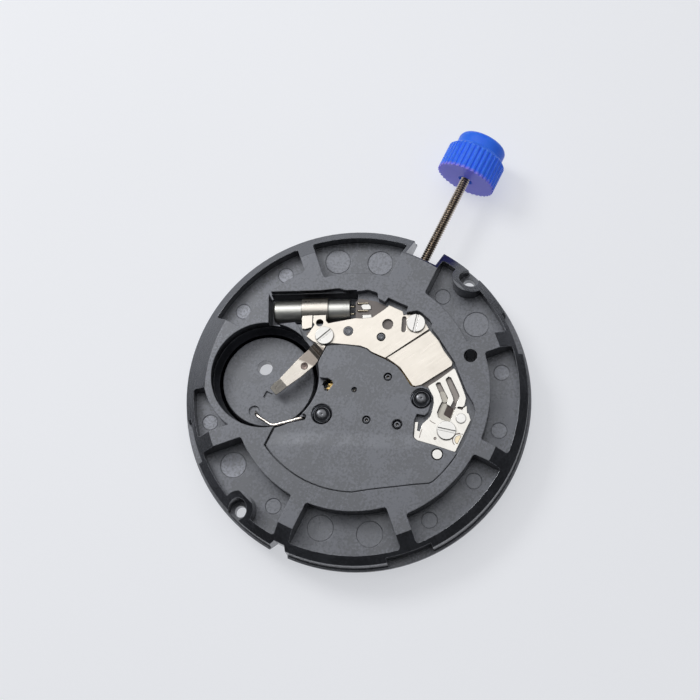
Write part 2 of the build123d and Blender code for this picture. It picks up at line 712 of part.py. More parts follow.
        # Bearing holes and screw holes
        with BuildSketch(Plane.XY.offset(arbor_low)):
            with Locations(fifth_axis, rotor_axis, third_axis):
                Circle(arbor_radius + running_gap)
        extrude(amount=train_floor - arbor_low, mode=Mode.SUBTRACT)
        with BuildSketch():
            Circle(centre_pipe_radius + running_gap)
        extrude(amount=train_floor, mode=Mode.SUBTRACT)
        with BuildSketch(Plane.XY.offset(cover_top - screw_length - loose_gap)):
            with Locations(*screw_places):
                Circle(screw_shank_radius + running_gap)
        extrude(amount=plate_height, mode=Mode.SUBTRACT)
        with BuildSketch(Plane.XY.offset(seat_level - steel_pin_length / 2)):
            with Locations(steel_pin):
                Circle(steel_pin_radius + running_gap)
            with Locations(rivet_place):
                Circle(rivet_shank_radius + running_gap)
        extrude(amount=plate_height, mode=Mode.SUBTRACT)
        # Dial side: motion work, keyless work and their cover
        with BuildSketch():
            for axis, radius in motion_rounds:
                with Locations(axis):
                    Circle(radius)
        extrude(amount=dial_recess_depth, mode=Mode.SUBTRACT)
        with BuildSketch():
            add(dial_cover_edge)
            offset(amount=loose_gap)
        extrude(amount=dial_cover_thickness, mode=Mode.SUBTRACT)
        with BuildSketch(Plane.XY.offset(web_level - motion_wheel_thickness * 2)):
            with Locations(minute_axis, setting_axis):
                Circle(stud_radius)
        extrude(amount=motion_wheel_thickness * 3)
        with BuildSketch():
            with Locations((clutch_start + clutch_length / 2, 0)):
                Rectangle(clutch_length + 2 * loose_gap, 2 * clutch_radius + 2 * loose_gap)
            with BuildLine():
                Polyline(*lever_hollow, close=True)
            make_face()
        extrude(amount=keyless_roof, mode=Mode.SUBTRACT)
        with BuildSketch():
            with BuildLine():
                Polyline(*yoke_hollow, close=True)
            make_face()
        extrude(amount=yoke_level + lever_thickness + loose_gap, mode=Mode.SUBTRACT)
        with BuildSketch(Plane.XY.offset(yoke_level)):
            with Locations(yoke_anchor):
                Circle(stud_radius)
        extrude(amount=lever_thickness + 2 * loose_gap)
        with BuildSketch(Plane.XY.offset(keyless_roof)):
            with Locations(lever_pivot):
                Circle(stud_radius + running_gap)
        extrude(amount=lever_thickness, mode=Mode.SUBTRACT)
        with BuildSketch():
            with Locations(*dial_screw_places):
                Circle(dial_screw_radius + running_gap)
        extrude(amount=dial_screw_length + loose_gap, mode=Mode.SUBTRACT)
        with BuildSketch(Plane.YZ.offset(stem_inner_end - loose_gap)):
            with Locations((0, stem_level)):
                Circle(stem_body_radius + running_gap)
        extrude(amount=seat_radius, mode=Mode.SUBTRACT)
    return plate.part


def train_bridge():
    with BuildPart() as bridge:
        with BuildSketch(Plane.XY.offset(seat_level)):
            add(bridge_edge)
        extrude(amount=bridge_thickness)
        # Recesses round the posts and oil cups over the pivots
        with BuildSketch(Plane.XY.offset(bridge_top)):
            with Locations(*bridge_posts):
                Circle(post_well_radius)
        extrude(amount=-post_well_depth, mode=Mode.SUBTRACT)
        for axis, radius in pivot_cups:
            with BuildSketch(Plane.XY.offset(bridge_top)):
                with Locations(axis):
                    Circle(radius)
            extrude(amount=-cup_depth, mode=Mode.SUBTRACT)
        # Holes for the arbors, the posts and the steel pin
        with BuildSketch(Plane.XY.offset(seat_level)):
            with Locations(hand_axis, fifth_axis, rotor_axis, third_axis):
                Circle(arbor_radius + running_gap)
            with Locations(*bridge_posts):
                Circle(post_radius + running_gap)
            with Locations(steel_pin):
                Circle(steel_pin_radius + loose_gap)
        extrude(amount=bridge_thickness, mode=Mode.SUBTRACT)
    return bridge.part


def circuit_film():
    with BuildPart() as film:
        with BuildSketch(Plane.XY.offset(seat_level)):
            with BuildLine():
                Polyline(*placed(film_shares), close=True)
            make_face()
            add(bridge_clear, mode=Mode.SUBTRACT)
            with Locations(*screw_places):
                Circle(screw_shank_radius + running_gap, mode=Mode.SUBTRACT)
            with Locations(dome_pin):
                Circle(pin_radius + running_gap, mode=Mode.SUBTRACT)
            with Locations(pad_pin):
                Circle(pad_pin_radius + running_gap, mode=Mode.SUBTRACT)
            with Locations(rivet_place):
                Circle(rivet_shank_radius + running_gap, mode=Mode.SUBTRACT)
            with Locations(Location(shift(crystal_start, crystal_length / 2, crystal_angle), crystal_angle)):
                Rectangle(crystal_length + 2 * film_foot_gap, crystal_pocket_width, mode=Mode.SUBTRACT)
        extrude(amount=film_thickness)
    return film.part


def circuit_cover():
    strap_way = (math.cos(math.radians(strap_angle)), math.sin(math.radians(strap_angle)), 0)
    strap_side = (strap_way[1], -strap_way[0], 0)
    strap_top = [(along * strap_length, level * cover_top) for along, level in strap_shares]
    strap_low = [(along, level - strap_thickness) for along, level in reversed(strap_top)]
    with BuildPart() as strap:
        with BuildSketch(Plane(origin=(*placed([strap_root_shares])[0], 0), x_dir=strap_way, z_dir=strap_side)):
            with BuildLine():
                Polyline(*strap_top, *strap_low, close=True)
            make_face()
        extrude(amount=strap_width / 2, both=True)
        with BuildSketch():
            with BuildLine():
                Polyline(*placed(strap_edge_shares), close=True)
            make_face()
        extrude(amount=plate_height, mode=Mode.INTERSECT)
    with BuildPart() as cover:
        add(strap.part)
        with BuildSketch(Plane.XY.offset(cover_level)):
            with BuildLine():
                Polyline(*placed(cover_shares), close=True)
            make_face()
            add(bridge_clear, mode=Mode.SUBTRACT)
            with Locations(*screw_places[:2]):
                Circle(screw_shank_radius + running_gap, mode=Mode.SUBTRACT)
            with Locations(dome_pin):
                Circle(pin_radius + loose_gap, mode=Mode.SUBTRACT)
            with Locations(pad_pin):
                Circle(pad_pin_radius + running_gap, mode=Mode.SUBTRACT)
            with Locations(sight_hole):
                Circle(sight_hole_radius, mode=Mode.SUBTRACT)
            with Locations(bend_hole):
                Circle(bend_hole_radius, mode=Mode.SUBTRACT)
            with Locations(Location(cover_slot_place, cover_slot_angle)):
                SlotOverall(cover_slot_length, cover_slot_width, mode=Mode.SUBTRACT)
        extrude(amount=cover_thickness)
        # Saddle over the crystal, with a tab on the well's side
        with BuildSketch(along_crystal(clamp_start)):
            Circle(clamp_inner_radius + clamp_thickness)
            Circle(clamp_inner_radius, mode=Mode.SUBTRACT)
            with Locations((clamp_inner_radius + clamp_drop, 0)):
                Rectangle(2 * clamp_inner_radius, 4 * clamp_inner_radius, mode=Mode.INTERSECT)
        extrude(amount=clamp_length)
        with BuildSketch(Plane.XY.offset(cover_level)):
            with BuildLine():
                Polyline(*placed(tab_shares), close=True)
            make_face()
        extrude(amount=clamp_thickness)
    return cover.part


def shield_plate():
    with BuildPart() as shield:
        with BuildSketch(Plane.XY.offset(cover_level)):
            with BuildLine():
                Polyline(*placed(shield_shares), close=True)
            make_face()
            add(bridge_clear, mode=Mode.SUBTRACT)
        extrude(amount=cover_thickness)
    return shield.part


def contact_spring_plate():
    with BuildPart() as contact:
        with BuildSketch(Plane.XY.offset(cover_level)):
            with BuildLine():
                Polyline(*placed(contact_shares), close=True)
            make_face()
            with BuildLine():
                Polyline(*placed(contact_window_shares), close=True)
            make_face(mode=Mode.SUBTRACT)
            with Locations(screw_places[2]):
                Circle(screw_shank_radius + running_gap, mode=Mode.SUBTRACT)
            with Locations(rivet_place):
                Circle(rivet_shank_radius + running_gap, mode=Mode.SUBTRACT)
            add(bridge_clear, mode=Mode.SUBTRACT)
        extrude(amount=cover_thickness)
    return contact.part


def cover_screws():
    with BuildPart() as screws:
        for place, angle in zip(screw_places, screw_turns):
            with BuildSketch(Plane.XY.offset(cover_top)):
                with Locations(place):
                    Circle(screw_head_radius)
            extrude(amount=screw_head_height)
            with BuildSketch(Plane.XY.offset(cover_top)):
                with Locations(place):
                    Circle(screw_shank_radius)
            extrude(amount=-screw_length)
            with BuildSketch(Plane.XY.offset(cover_top + screw_head_height)):
                with Locations(Location(place, angle)):
                    Rectangle(2 * screw_head_radius + overrun, screw_slot_width)
            extrude(amount=-screw_slot_depth, mode=Mode.SUBTRACT)
    return screws.part


def steel_pin_piece():
    with BuildPart() as pin:
        with BuildSketch(Plane.XY.offset(seat_level - steel_pin_length / 2)):
            with Locations(steel_pin):
                Circle(steel_pin_radius)
        extrude(amount=steel_pin_length)
    return pin.part


def contact_rivet():
    with BuildPart() as rivet:
        with BuildSketch(Plane.XY.offset(seat_level - steel_pin_length / 2)):
            with Locations(rivet_place):
                Circle(rivet_shank_radius)
        extrude(amount=cover_top - seat_level + steel_pin_length / 2)
        with BuildSketch(Plane.XY.offset(cover_top)):
            with Locations(rivet_place):
                Circle(rivet_radius)
        extrude(amount=screw_slot_depth)
    return rivet.part


def control_chip():
    with BuildPart() as chip:
        with BuildSketch(Plane.XY.offset(seat_level - chip_thickness)):
            with Locations(chip_place):
                Rectangle(chip_width, chip_width)
        extrude(amount=chip_thickness)
    return chip.part


def along_crystal(distance):
    place = shift(crystal_start, distance, crystal_angle)
    return Plane(origin=(*place, crystal_level), x_dir=(0, 0, 1), z_dir=(*polar(1, crystal_angle), 0))


def crystal_can():
    ends_axis = Axis((*crystal_start, 0), (*polar(1, crystal_angle), 0))
    with BuildPart() as can:
        with BuildSketch(along_crystal(0)):
            Circle(crystal_radius)
        extrude(amount=crystal_length)
        fillet(can.edges().filter_by(GeomType.CIRCLE).sort_by(ends_axis)[0], crystal_edge_radius)
        fillet(can.edges().filter_by(GeomType.CIRCLE).sort_by(ends_axis)[-1], crystal_lip_radius)
        with BuildSketch(along_crystal(crystal_length)):
            Circle(crystal_radius - crystal_wall)
        extrude(amount=-crystal_base_depth, mode=Mode.SUBTRACT)
    return can.part


def crystal_base():
    with BuildPart() as base:
        with BuildSketch(along_crystal(crystal_length)):
            Circle(crystal_radius - crystal_wall)
            with Locations((0, lead_spread), (0, -lead_spread)):
                Circle(lead_radius, mode=Mode.SUBTRACT)
        extrude(amount=-crystal_base_depth)
    return base.part


def crystal_leads():
    with BuildPart() as leads:
        for side in (lead_spread, -lead_spread):
            root = along_crystal(crystal_length - crystal_base_depth).from_local_coords((0, side, 0))
            bend = along_crystal(crystal_length + lead_reach).from_local_coords((0, side, 0))
            rise = cover_level + lead_radius - crystal_level
            over = along_crystal(crystal_length + 2 * lead_reach).from_local_coords((rise, side, 0))
            tip = along_crystal(crystal_length + lead_length).from_local_coords((rise, side, 0))
            with BuildLine() as route:
                FilletPolyline(root, bend, over, tip, radius=lead_reach / 4)
            with BuildSketch(Plane(origin=route.line @ 0, z_dir=route.line % 0)):
                Circle(lead_radius)
            sweep(path=route.line)
    return leads.part


def negative_contact_wire():
    route = placed(wire_route_shares)
    points = [(x, y, level) for (x, y), level in zip(route, wire_levels)]
    foot = (*route[-1], wire_levels[-1] - wire_foot_drop)
    with BuildPart() as wire:
        with BuildLine() as path:
            FilletPolyline(*points, foot, radius=wire_bend_radius)
        with BuildSketch(Plane(origin=path.line @ 0, z_dir=path.line % 0)):
            Circle(wire_radius)
        sweep(path=path.line)
    return wire.part


def coil_core():
    with BuildPart() as core:
        with BuildSketch(Plane.XY.offset(train_floor + stator_thickness)):
            with Locations(coil_centre):
                Rectangle(core_width, core_length)
        extrude(amount=core_thickness)
    return core.part


def motor_coil():
    coil_plane = Plane(origin=(coil_centre[0], coil_centre[1], coil_level), x_dir=(1, 0, 0), z_dir=(0, -1, 0))
    with BuildPart() as coil:
        with BuildSketch(coil_plane):
            Circle(coil_radius)
            Rectangle(core_width, core_thickness, mode=Mode.SUBTRACT)
        extrude(amount=coil_length / 2, both=True)
    return coil.part


def stator():
    with BuildPart() as sheet:
        with BuildSketch(Plane.XY.offset(train_floor)):
            with Locations(rotor_axis):
                Circle(magnet_radius + stator_ring + 2 * loose_gap)
            for arm in (stator_low_shares, stator_high_shares):
                with BuildLine():
                    Polyline(*placed(arm), close=True)
                make_face()
            with Locations(rotor_axis):
                Circle(magnet_radius + 2 * loose_gap, mode=Mode.SUBTRACT)
        extrude(amount=stator_thickness)
    return sheet.part


def arbor_piece(axis, toothed, rounds, bore_radius):
    lowest = min(low for radius, low, high in rounds)
    highest = max(high for radius, low, high in rounds)
    with BuildPart() as piece:
        for teeth, module, phase, shares, level, thickness in toothed:
            with BuildSketch(Plane(origin=(*axis, level))):
                with BuildLine():
                    Polyline(*gear_points(teeth, module, phase, shares), close=True)
                make_face()
            extrude(amount=thickness)
        for radius, low, high in rounds:
            with BuildSketch(Plane(origin=(*axis, low))):
                Circle(radius)
            extrude(amount=high - low)
        if bore_radius:
            with BuildSketch(Plane(origin=(*axis, lowest))):
                Circle(bore_radius)
            extrude(amount=highest - lowest, mode=Mode.SUBTRACT)
    return piece.part


def rotor():
    wheels = [(rotor_pinion_leaves, rotor_module, rotor_angle + 180, leaf_shares, rotor_pinion_low, rotor_pinion_height)]
    rounds = [(magnet_radius, magnet_level, magnet_level + magnet_thickness), (arbor_radius, arbor_low, arbor_high)]
    return arbor_piece(rotor_axis, wheels, rounds, 0)


def fifth_wheel():
    wheels = [
        (fifth_teeth, rotor_module, rotor_angle + 180 / fifth_teeth, wheel_tooth_shares, fifth_level, wheel_thickness),
        (fifth_pinion_leaves, fourth_module, fifth_angle + 180, leaf_shares, fifth_pinion_low, pinion_height),
    ]
    return arbor_piece(fifth_axis, wheels, [(arbor_radius, arbor_low, arbor_high)], 0)


def fourth_wheel():
    wheel_phase = fifth_angle + 180 / fourth_teeth
    wheels = [
        (fourth_teeth, fourth_module, wheel_phase, wheel_tooth_shares, fourth_level, wheel_thickness),
        (fourth_pinion_leaves, third_module, third_angle, leaf_shares, fourth_pinion_low, pinion_height),
    ]
    return arbor_piece(hand_axis, wheels, [(arbor_radius, seconds_end, arbor_high)], 0)


def third_wheel():
    wheel_phase = third_angle + 180 + 180 / third_teeth
    wheels = [
        (third_teeth, third_module, wheel_phase, wheel_tooth_shares, third_level, wheel_thickness),
        (third_pinion_leaves, centre_module, third_angle + 180, leaf_shares, third_pinion_low, pinion_height),
    ]
    return arbor_piece(third_axis, wheels, [(arbor_radius, arbor_low, arbor_high)], 0)


def centre_wheel():
    wheel_phase = third_angle + 180 / centre_teeth
    wheels = [(centre_teeth, centre_module, wheel_phase, wheel_tooth_shares, centre_level, wheel_thickness)]
    rounds = [(centre_pipe_radius, cannon_end, centre_level + wheel_thickness + running_gap)]
    return arbor_piece(hand_axis, wheels, rounds, arbor_radius + 2 * running_gap)


def cannon_pinion():
    wheels = [(cannon_leaves, motion_module, minute_angle, leaf_shares, minute_level, web_level - running_gap - minute_level)]
    rounds = [(cannon_radius, cannon_end, web_level - running_gap)]
    return arbor_piece(hand_axis, wheels, rounds, centre_pipe_radius)


def minute_wheel():
    wheel_phase = minute_angle + 180 + 180 / minute_teeth
    wheels = [
        (minute_teeth, motion_module, wheel_phase, wheel_tooth_shares, minute_level, motion_wheel_thickness),
        (minute_pinion_leaves, hour_module, minute_angle + 180, leaf_shares, hour_level, minute_level - hour_level),
    ]
    rounds = [(stud_radius + cup_depth, hour_level, minute_level + motion_wheel_thickness)]
    return arbor_piece(minute_axis, wheels, rounds, stud_radius + running_gap)


def hour_wheel():
    wheel_phase = minute_angle + 180 / hour_teeth
    wheels = [(hour_teeth, hour_module, wheel_phase, wheel_tooth_shares, hour_level, motion_wheel_thickness)]
    rounds = [
        (hour_pipe_radius, hour_pipe_end, 0),
        (hour_hub_radius, 0, hour_level + motion_wheel_thickness),
    ]
    return arbor_piece(hand_axis, wheels, rounds, cannon_radius + running_gap)


def setting_wheel():
    reach = (setting_axis[0] - minute_axis[0], setting_axis[1] - minute_axis[1])
    mesh_angle = math.degrees(math.atan2(reach[1], reach[0]))
    minute_step = 360 / minute_teeth
    first_tooth = minute_angle + 180 + minute_step / 2
    offset_share = ((mesh_angle - first_tooth) / minute_step) % 1
    phase = mesh_angle + 180 + 180 / setting_teeth + offset_share * 360 / setting_teeth
    wheels = [(setting_teeth, motion_module, phase, wheel_tooth_shares, minute_level, motion_wheel_thickness)]
    rounds = [(2 * stud_radius, minute_level, minute_level + motion_wheel_thickness)]
    return arbor_piece(setting_axis, wheels, rounds, stud_radius + running_gap)


def clutch():
    with BuildPart() as sleeve:
        with BuildSketch(Plane.YZ.offset(clutch_start)):
            with Locations((0, stem_level)):
                Circle(clutch_radius)
        extrude(amount=clutch_length)
        # Groove for the yoke
        with BuildSketch(Plane.YZ.offset(clutch_start + (clutch_length - clutch_groove_width) / 2)):
            with Locations((0, stem_level)):
                Circle(clutch_radius)
                Circle(clutch_groove_radius, mode=Mode.SUBTRACT)
        extrude(amount=clutch_groove_width, mode=Mode.SUBTRACT)
        # Face teeth toward the setting wheel
        with BuildSketch(Plane.YZ.offset(clutch_start)):
            with Locations((0, stem_level)):
                with PolarLocations(clutch_radius, clutch_teeth):
                    Rectangle(clutch_radius, clutch_tooth_gap)
        extrude(amount=clutch_tooth_gap, mode=Mode.SUBTRACT)
        with BuildSketch(Plane.YZ.offset(clutch_start)):
            with Locations((0, stem_level)):
                Rectangle(stem_square + 2 * running_gap, stem_square + 2 * running_gap)
        extrude(amount=clutch_length, mode=Mode.SUBTRACT)
    return sleeve.part


def stem():
    groove_start = lever_pin_x - lever_pin_radius - 2 * running_gap
    groove_end = lever_pin_x + lever_pin_radius + 2 * running_gap
    rounds = [
        (stem_body_radius, clutch_end + loose_gap * 1.5, groove_start),
        (stem_groove_radius, groove_start, groove_end),
        (stem_body_radius, groove_end, stem_cut_start - loose_gap),
        (stem_thread_radius, stem_cut_start - loose_gap, crown_start + crown_bore_depth),
    ]
    with BuildPart() as shaft:
        with BuildSketch(Plane.YZ.offset(stem_inner_end)):
            with Locations((0, stem_level)):
                Rectangle(stem_square, stem_square)
        extrude(amount=rounds[0][1] - stem_inner_end)
        for radius, start, end in rounds:
            with BuildSketch(Plane.YZ.offset(start)):
                with Locations((0, stem_level)):
                    Circle(radius)
            extrude(amount=end - start)
    return shaft.part


def crown():
    with BuildPart() as knob:
        with BuildSketch(Plane.YZ.offset(crown_start)):
            with Locations((0, stem_level)):
                Circle(crown_radius)
        extrude(amount=crown_knurl_length)
        chamfer(knob.faces().sort_by(Axis.X)[-1].edges(), crown_edge)
        with BuildSketch(Plane.YZ.offset(crown_start + crown_knurl_length)):
            with Locations((0, stem_level)):
                Circle(crown_cap_radius)
        extrude(amount=crown_cap_length)
        fillet(knob.faces().sort_by(Axis.X)[-1].edges(), crown_cap_edge)
        # Straight flutes and the threaded bore
        with BuildSketch(Plane.YZ.offset(crown_start)):
            with Locations((0, stem_level)):
                with PolarLocations(crown_radius, crown_flutes):
                    Circle(flute_radius)
        extrude(amount=crown_knurl_length, mode=Mode.SUBTRACT)
        with BuildSketch(Plane.YZ.offset(crown_start)):
            with Locations((0, stem_level)):
                Circle(stem_thread_radius)
        extrude(amount=crown_bore_depth, mode=Mode.SUBTRACT)
        with BuildSketch(Plane.YZ.offset(crown_start)):
            with Locations((0, stem_level)):
                Circle(crown_mouth_radius)
        extrude(amount=crown_mouth_depth, mode=Mode.SUBTRACT)
    return knob.part


def setting_lever():
    with BuildPart() as lever:
        with BuildSketch(Plane.XY.offset(lever_level)):
            with Locations(lever_pivot):
                Circle(lever_width / 2)
            with Locations((lever_pin_x, 0)):
                Circle(lever_pin_radius + loose_gap)
            make_hull()
        extrude(amount=lever_thickness)
        with BuildSketch(Plane.XY.offset(stem_level + stem_groove_radius + running_gap)):
            with Locations((lever_pin_x, 0)):
                Circle(lever_pin_radius)
        extrude(amount=lever_level - stem_level - stem_groove_radius)
        with BuildSketch(Plane.XY.offset(dial_cover_thickness + running_gap)):
            with Locations(lever_pivot):
                Circle(stud_radius)
        extrude(amount=keyless_roof + lever_thickness - dial_cover_thickness - 2 * running_gap)
    return lever.part


def yoke():
    finger_x = clutch_start + clutch_length / 2
    half_finger = clutch_groove_width / 2 - 2 * running_gap
    with BuildPart() as fork:
        with BuildSketch(Plane.XY.offset(yoke_level)):
            with Locations(yoke_anchor):
                Circle(yoke_anchor_radius)
            with BuildLine():
                Polyline(
                    (finger_x - half_finger, -clutch_groove_radius - 2 * running_gap),
                    (finger_x - half_finger, -clutch_radius - loose_gap),
                    (yoke_anchor[0], yoke_anchor[1] + yoke_anchor_radius),
                    (yoke_anchor[0] + yoke_anchor_radius, yoke_anchor[1]),
                    (finger_x + half_finger, -clutch_radius - 2 * loose_gap),
                    (finger_x + half_finger, -clutch_groove_radius - 2 * running_gap),
                    close=True,
                )
            make_face()
            with Locations(yoke_anchor):
                Circle(stud_radius + running_gap, mode=Mode.SUBTRACT)
        extrude(amount=lever_thickness)
    return fork.part


def dial_side_cover():
    with BuildPart() as cover:
        with BuildSketch():
            add(dial_cover_edge)
            Circle(hour_hub_radius + 2 * running_gap, mode=Mode.SUBTRACT)
            with Locations(*dial_screw_places):
                Circle(dial_screw_radius + running_gap, mode=Mode.SUBTRACT)
        extrude(amount=dial_cover_thickness)
        with BuildSketch():
            with Locations(*dial_screw_places):
                Circle(dial_screw_head_radius + running_gap)
        extrude(amount=dial_screw_head_height, mode=Mode.SUBTRACT)
    return cover.part


def dial_side_screws():
    with BuildPart() as screws:
        for place in dial_screw_places:
            with BuildSketch():
                with Locations(place):
                    Circle(dial_screw_head_radius)
            extrude(amount=dial_screw_head_height)
            with BuildSketch():
                with Locations(place):
                    Circle(dial_screw_radius)
            extrude(amount=dial_screw_length)
            with BuildSketch():
                with Locations(place):
                    Rectangle(2 * dial_screw_head_radius + overrun, dial_screw_head_height)
            extrude(amount=dial_screw_head_height / 2, mode=Mode.SUBTRACT)
    return screws.part


# One file for each piece
pieces = {
    "main_plate": main_plate(),
    "train_bridge": train_bridge(),
    "circuit_film": circuit_film(),
    "circuit_cover": circuit_cover(),
    "shield_plate": shield_plate(),
    "contact_spring_plate": contact_spring_plate(),
    "cover_screws": cover_screws(),
    "steel_pin": steel_pin_piece(),
    "contact_rivet": contact_rivet(),
    "control_chip": control_chip(),
    "crystal_can": crystal_can(),
    "crystal_base": crystal_base(),
    "crystal_leads": crystal_leads(),
    "negative_contact_wire": negative_contact_wire(),
    "coil_core": coil_core(),
    "motor_coil": motor_coil(),
    "stator": stator(),
    "rotor": rotor(),
    "fifth_wheel": fifth_wheel(),
    "fourth_wheel": fourth_wheel(),
    "third_wheel": third_wheel(),
    "centre_wheel": centre_wheel(),
    "cannon_pinion": cannon_pinion(),
    "minute_wheel": minute_wheel(),
    "hour_wheel": hour_wheel(),
    "setting_wheel": setting_wheel(),
    "clutch": clutch(),
    "stem": stem(),
    "crown": crown(),
    "setting_lever": setting_lever(),
    "yoke": yoke(),
    "dial_side_cover": dial_side_cover(),
    "dial_side_screws": dial_side_screws(),
}
for name, piece in pieces.items():
    piece.label = name
    export_step(piece, f"parts/{name}.step")
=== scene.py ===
import json
import math
import bpy
import bmesh
from mathutils import Matrix, Vector


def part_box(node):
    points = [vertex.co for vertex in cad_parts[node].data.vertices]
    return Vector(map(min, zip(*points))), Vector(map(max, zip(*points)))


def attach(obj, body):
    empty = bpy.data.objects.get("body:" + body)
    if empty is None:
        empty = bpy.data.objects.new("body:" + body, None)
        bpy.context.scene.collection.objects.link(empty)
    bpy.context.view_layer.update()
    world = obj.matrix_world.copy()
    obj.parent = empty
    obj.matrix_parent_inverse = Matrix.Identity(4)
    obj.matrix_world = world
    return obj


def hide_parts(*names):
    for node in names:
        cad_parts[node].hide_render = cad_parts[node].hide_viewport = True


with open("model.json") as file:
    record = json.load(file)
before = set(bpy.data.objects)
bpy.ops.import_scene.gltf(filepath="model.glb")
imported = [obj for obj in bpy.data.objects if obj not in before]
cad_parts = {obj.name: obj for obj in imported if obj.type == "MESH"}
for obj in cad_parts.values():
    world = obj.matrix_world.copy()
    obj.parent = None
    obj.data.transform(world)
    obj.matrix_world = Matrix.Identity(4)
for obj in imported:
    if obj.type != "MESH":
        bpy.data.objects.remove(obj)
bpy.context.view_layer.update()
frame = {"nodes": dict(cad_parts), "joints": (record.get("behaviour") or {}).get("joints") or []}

mm = 0.001

# Camera and table
# The movement lies dial side down on a plain pale table, and the camera looks
# down on it from the side away from the crown.
camera_place = (-20.949 * mm, -20.935 * mm, 116.035 * mm)
camera_turn = (0.2745890, 0.0864059, -1.1070623)
camera_lens = 66.857
sensor_width = 36.0
nearest_seen = 1 * mm
table_gap = 0.03 * mm
table_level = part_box("fourth_wheel")[0].z - table_gap
table_half = 600 * mm
paper_dark = (0.44, 0.445, 0.46)
paper_pale = (0.48, 0.485, 0.50)
paper_glow = (0.53, 0.54, 0.565)
unlit = (0.0, 0.0, 0.0)

camera_data = bpy.data.cameras.new("camera")
camera_data.lens = camera_lens
camera_data.sensor_width = sensor_width
camera_data.clip_start = nearest_seen
camera = bpy.data.objects.new("camera", camera_data)
camera.location = camera_place
camera.rotation_euler = camera_turn
bpy.context.scene.collection.objects.link(camera)
bpy.context.scene.camera = camera
bpy.context.scene.view_settings.view_transform = "Standard"


def add_node(tree, kind, inputs=None, **settings):
    """A node with its settings, and its sockets set to a value or linked to another socket."""
    node = tree.nodes.new(kind)
    for key, value in settings.items():
        setattr(node, key, value)
    for key, value in (inputs or {}).items():
        if isinstance(value, bpy.types.NodeSocket):
            tree.links.new(value, node.inputs[key])
        else:
            node.inputs[key].default_value = value
    return node


def feed(tree, node, **sockets):
    """Links each named input of a node to another node's output."""
    for key, socket in sockets.items():
        tree.links.new(socket, node.inputs[key.replace("_", " ")])


def own_place(tree):
    """The place on the piece, in metres."""
    return add_node(tree, "ShaderNodeTexCoord").outputs["Object"]


def worked(tree, operation, *values, **settings):
    """The result of a sum on one or two numbers."""
    sum_node = add_node(tree, "ShaderNodeMath", dict(enumerate(values)), operation=operation, **settings)
    return sum_node.outputs["Value"]


def vector_worked(tree, operation, *values):
    """The result of a sum on vectors, which for a length or a dot product is a number."""
    sum_node = add_node(tree, "ShaderNodeVectorMath", dict(enumerate(values)), operation=operation)
    return sum_node.outputs["Value" if operation in ("LENGTH", "DOT_PRODUCT") else "Vector"]


def spread(tree, value, low, high, start=0.0, end=1.0, **settings):
    """A number brought from the range low to high into the range start to end."""
    return add_node(tree, "ShaderNodeMapRange", {
        "Value": value, "From Min": low, "From Max": high, "To Min": start, "To Max": end,
    }, **settings).outputs["Result"]


def noise(tree, place, scale, detail, roughness=0.5):
    """Cloudy noise between 0 and 1."""
    return add_node(tree, "ShaderNodeTexNoise", {
        "Vector": place, "Scale": scale, "Detail": detail, "Roughness": roughness,
    }).outputs["Fac"]


def mixed(tree, share, first, second):
    """A share of the second colour over the first; each is plain numbers or another node's colour."""
    below, above = [(*colour, 1.0) if isinstance(colour, tuple) else colour for colour in (first, second)]
    mix_node = add_node(tree, "ShaderNodeMixRGB", {"Fac": share, "Color1": below, "Color2": above})
    return mix_node.outputs["Color"]


def new_finish(name, **plain):
    """A material with its shader; plain values go straight on the shader's own sockets."""
    material = bpy.data.materials.new(name)
    material.use_nodes = True
    tree = material.node_tree
    shader = tree.nodes["Principled BSDF"]
    for key, value in plain.items():
        shader.inputs[key.replace("_", " ")].default_value = value
    return material, tree, shader


def link_piece(mesh, name, material, smooth_angle=None):
    """A finished mesh as an object at the origin."""
    piece = bpy.data.objects.new(name, mesh)
    bpy.context.scene.collection.objects.link(piece)
    mesh.materials.clear()
    mesh.materials.append(material)
    if smooth_angle is not None:
        mesh.shade_smooth()
        mesh.set_sharp_from_angle(angle=math.radians(smooth_angle))
    return piece


table_finish, tree, shader = new_finish("table_paper", Roughness=0.75, Emission_Strength=1.0)
# The mottle is laid out on the place as a share of the table's width
table_share = (0.5 / table_half, 0.5 / table_half, 0.0)
paper_place = vector_worked(tree, "MULTIPLY_ADD", own_place(tree), table_share, (0.5, 0.5, 0.5))
paper_mottle = noise(tree, paper_place, 30.0, 3.0)
# The paper glows a little for the camera and in reflections, and lights nothing itself
ray_kind = add_node(tree, "ShaderNodeLightPath").outputs
seen_direct = worked(tree, "ADD", ray_kind["Is Camera Ray"], ray_kind["Is Glossy Ray"])
seen = worked(tree, "ADD", seen_direct, ray_kind["Is Transmission Ray"], use_clamp=True)
feed(
    tree, shader, Base_Color=mixed(tree, paper_mottle, paper_dark, paper_pale),
    Emission_Color=mixed(tree, seen, unlit, paper_glow),
)
table_mesh = bpy.data.meshes.new("table")
table_mesh.from_pydata(
    [(x * table_half, y * table_half, table_level) for x, y in ((-1, -1), (1, -1), (1, 1), (-1, 1))],
    [], [(0, 1, 2, 3)],
)
table = link_piece(table_mesh, "table", table_finish)

# Studio light
# A wide soft box hangs where the flat sheets mirror it to the camera, a smaller
# one at the left casts the shadows, and the room is a dim plain grey.
room_colour = (0.86, 0.89, 0.93, 1.0)
room_strength = 0.09


def add_lamp(name, place, size, brightness):
    """A round soft box that faces the movement; its power follows from its size and brightness."""
    lamp_data = bpy.data.lights.new(name, "AREA")
    lamp_data.shape = "DISK"
    lamp_data.size = size
    lamp_data.energy = brightness * math.pi * math.pi * (size / 2) ** 2
    lamp = bpy.data.objects.new(name, lamp_data)
    lamp.location = place
    lamp.rotation_euler = Vector(place).to_track_quat("Z", "Y").to_euler()
    bpy.context.scene.collection.objects.link(lamp)


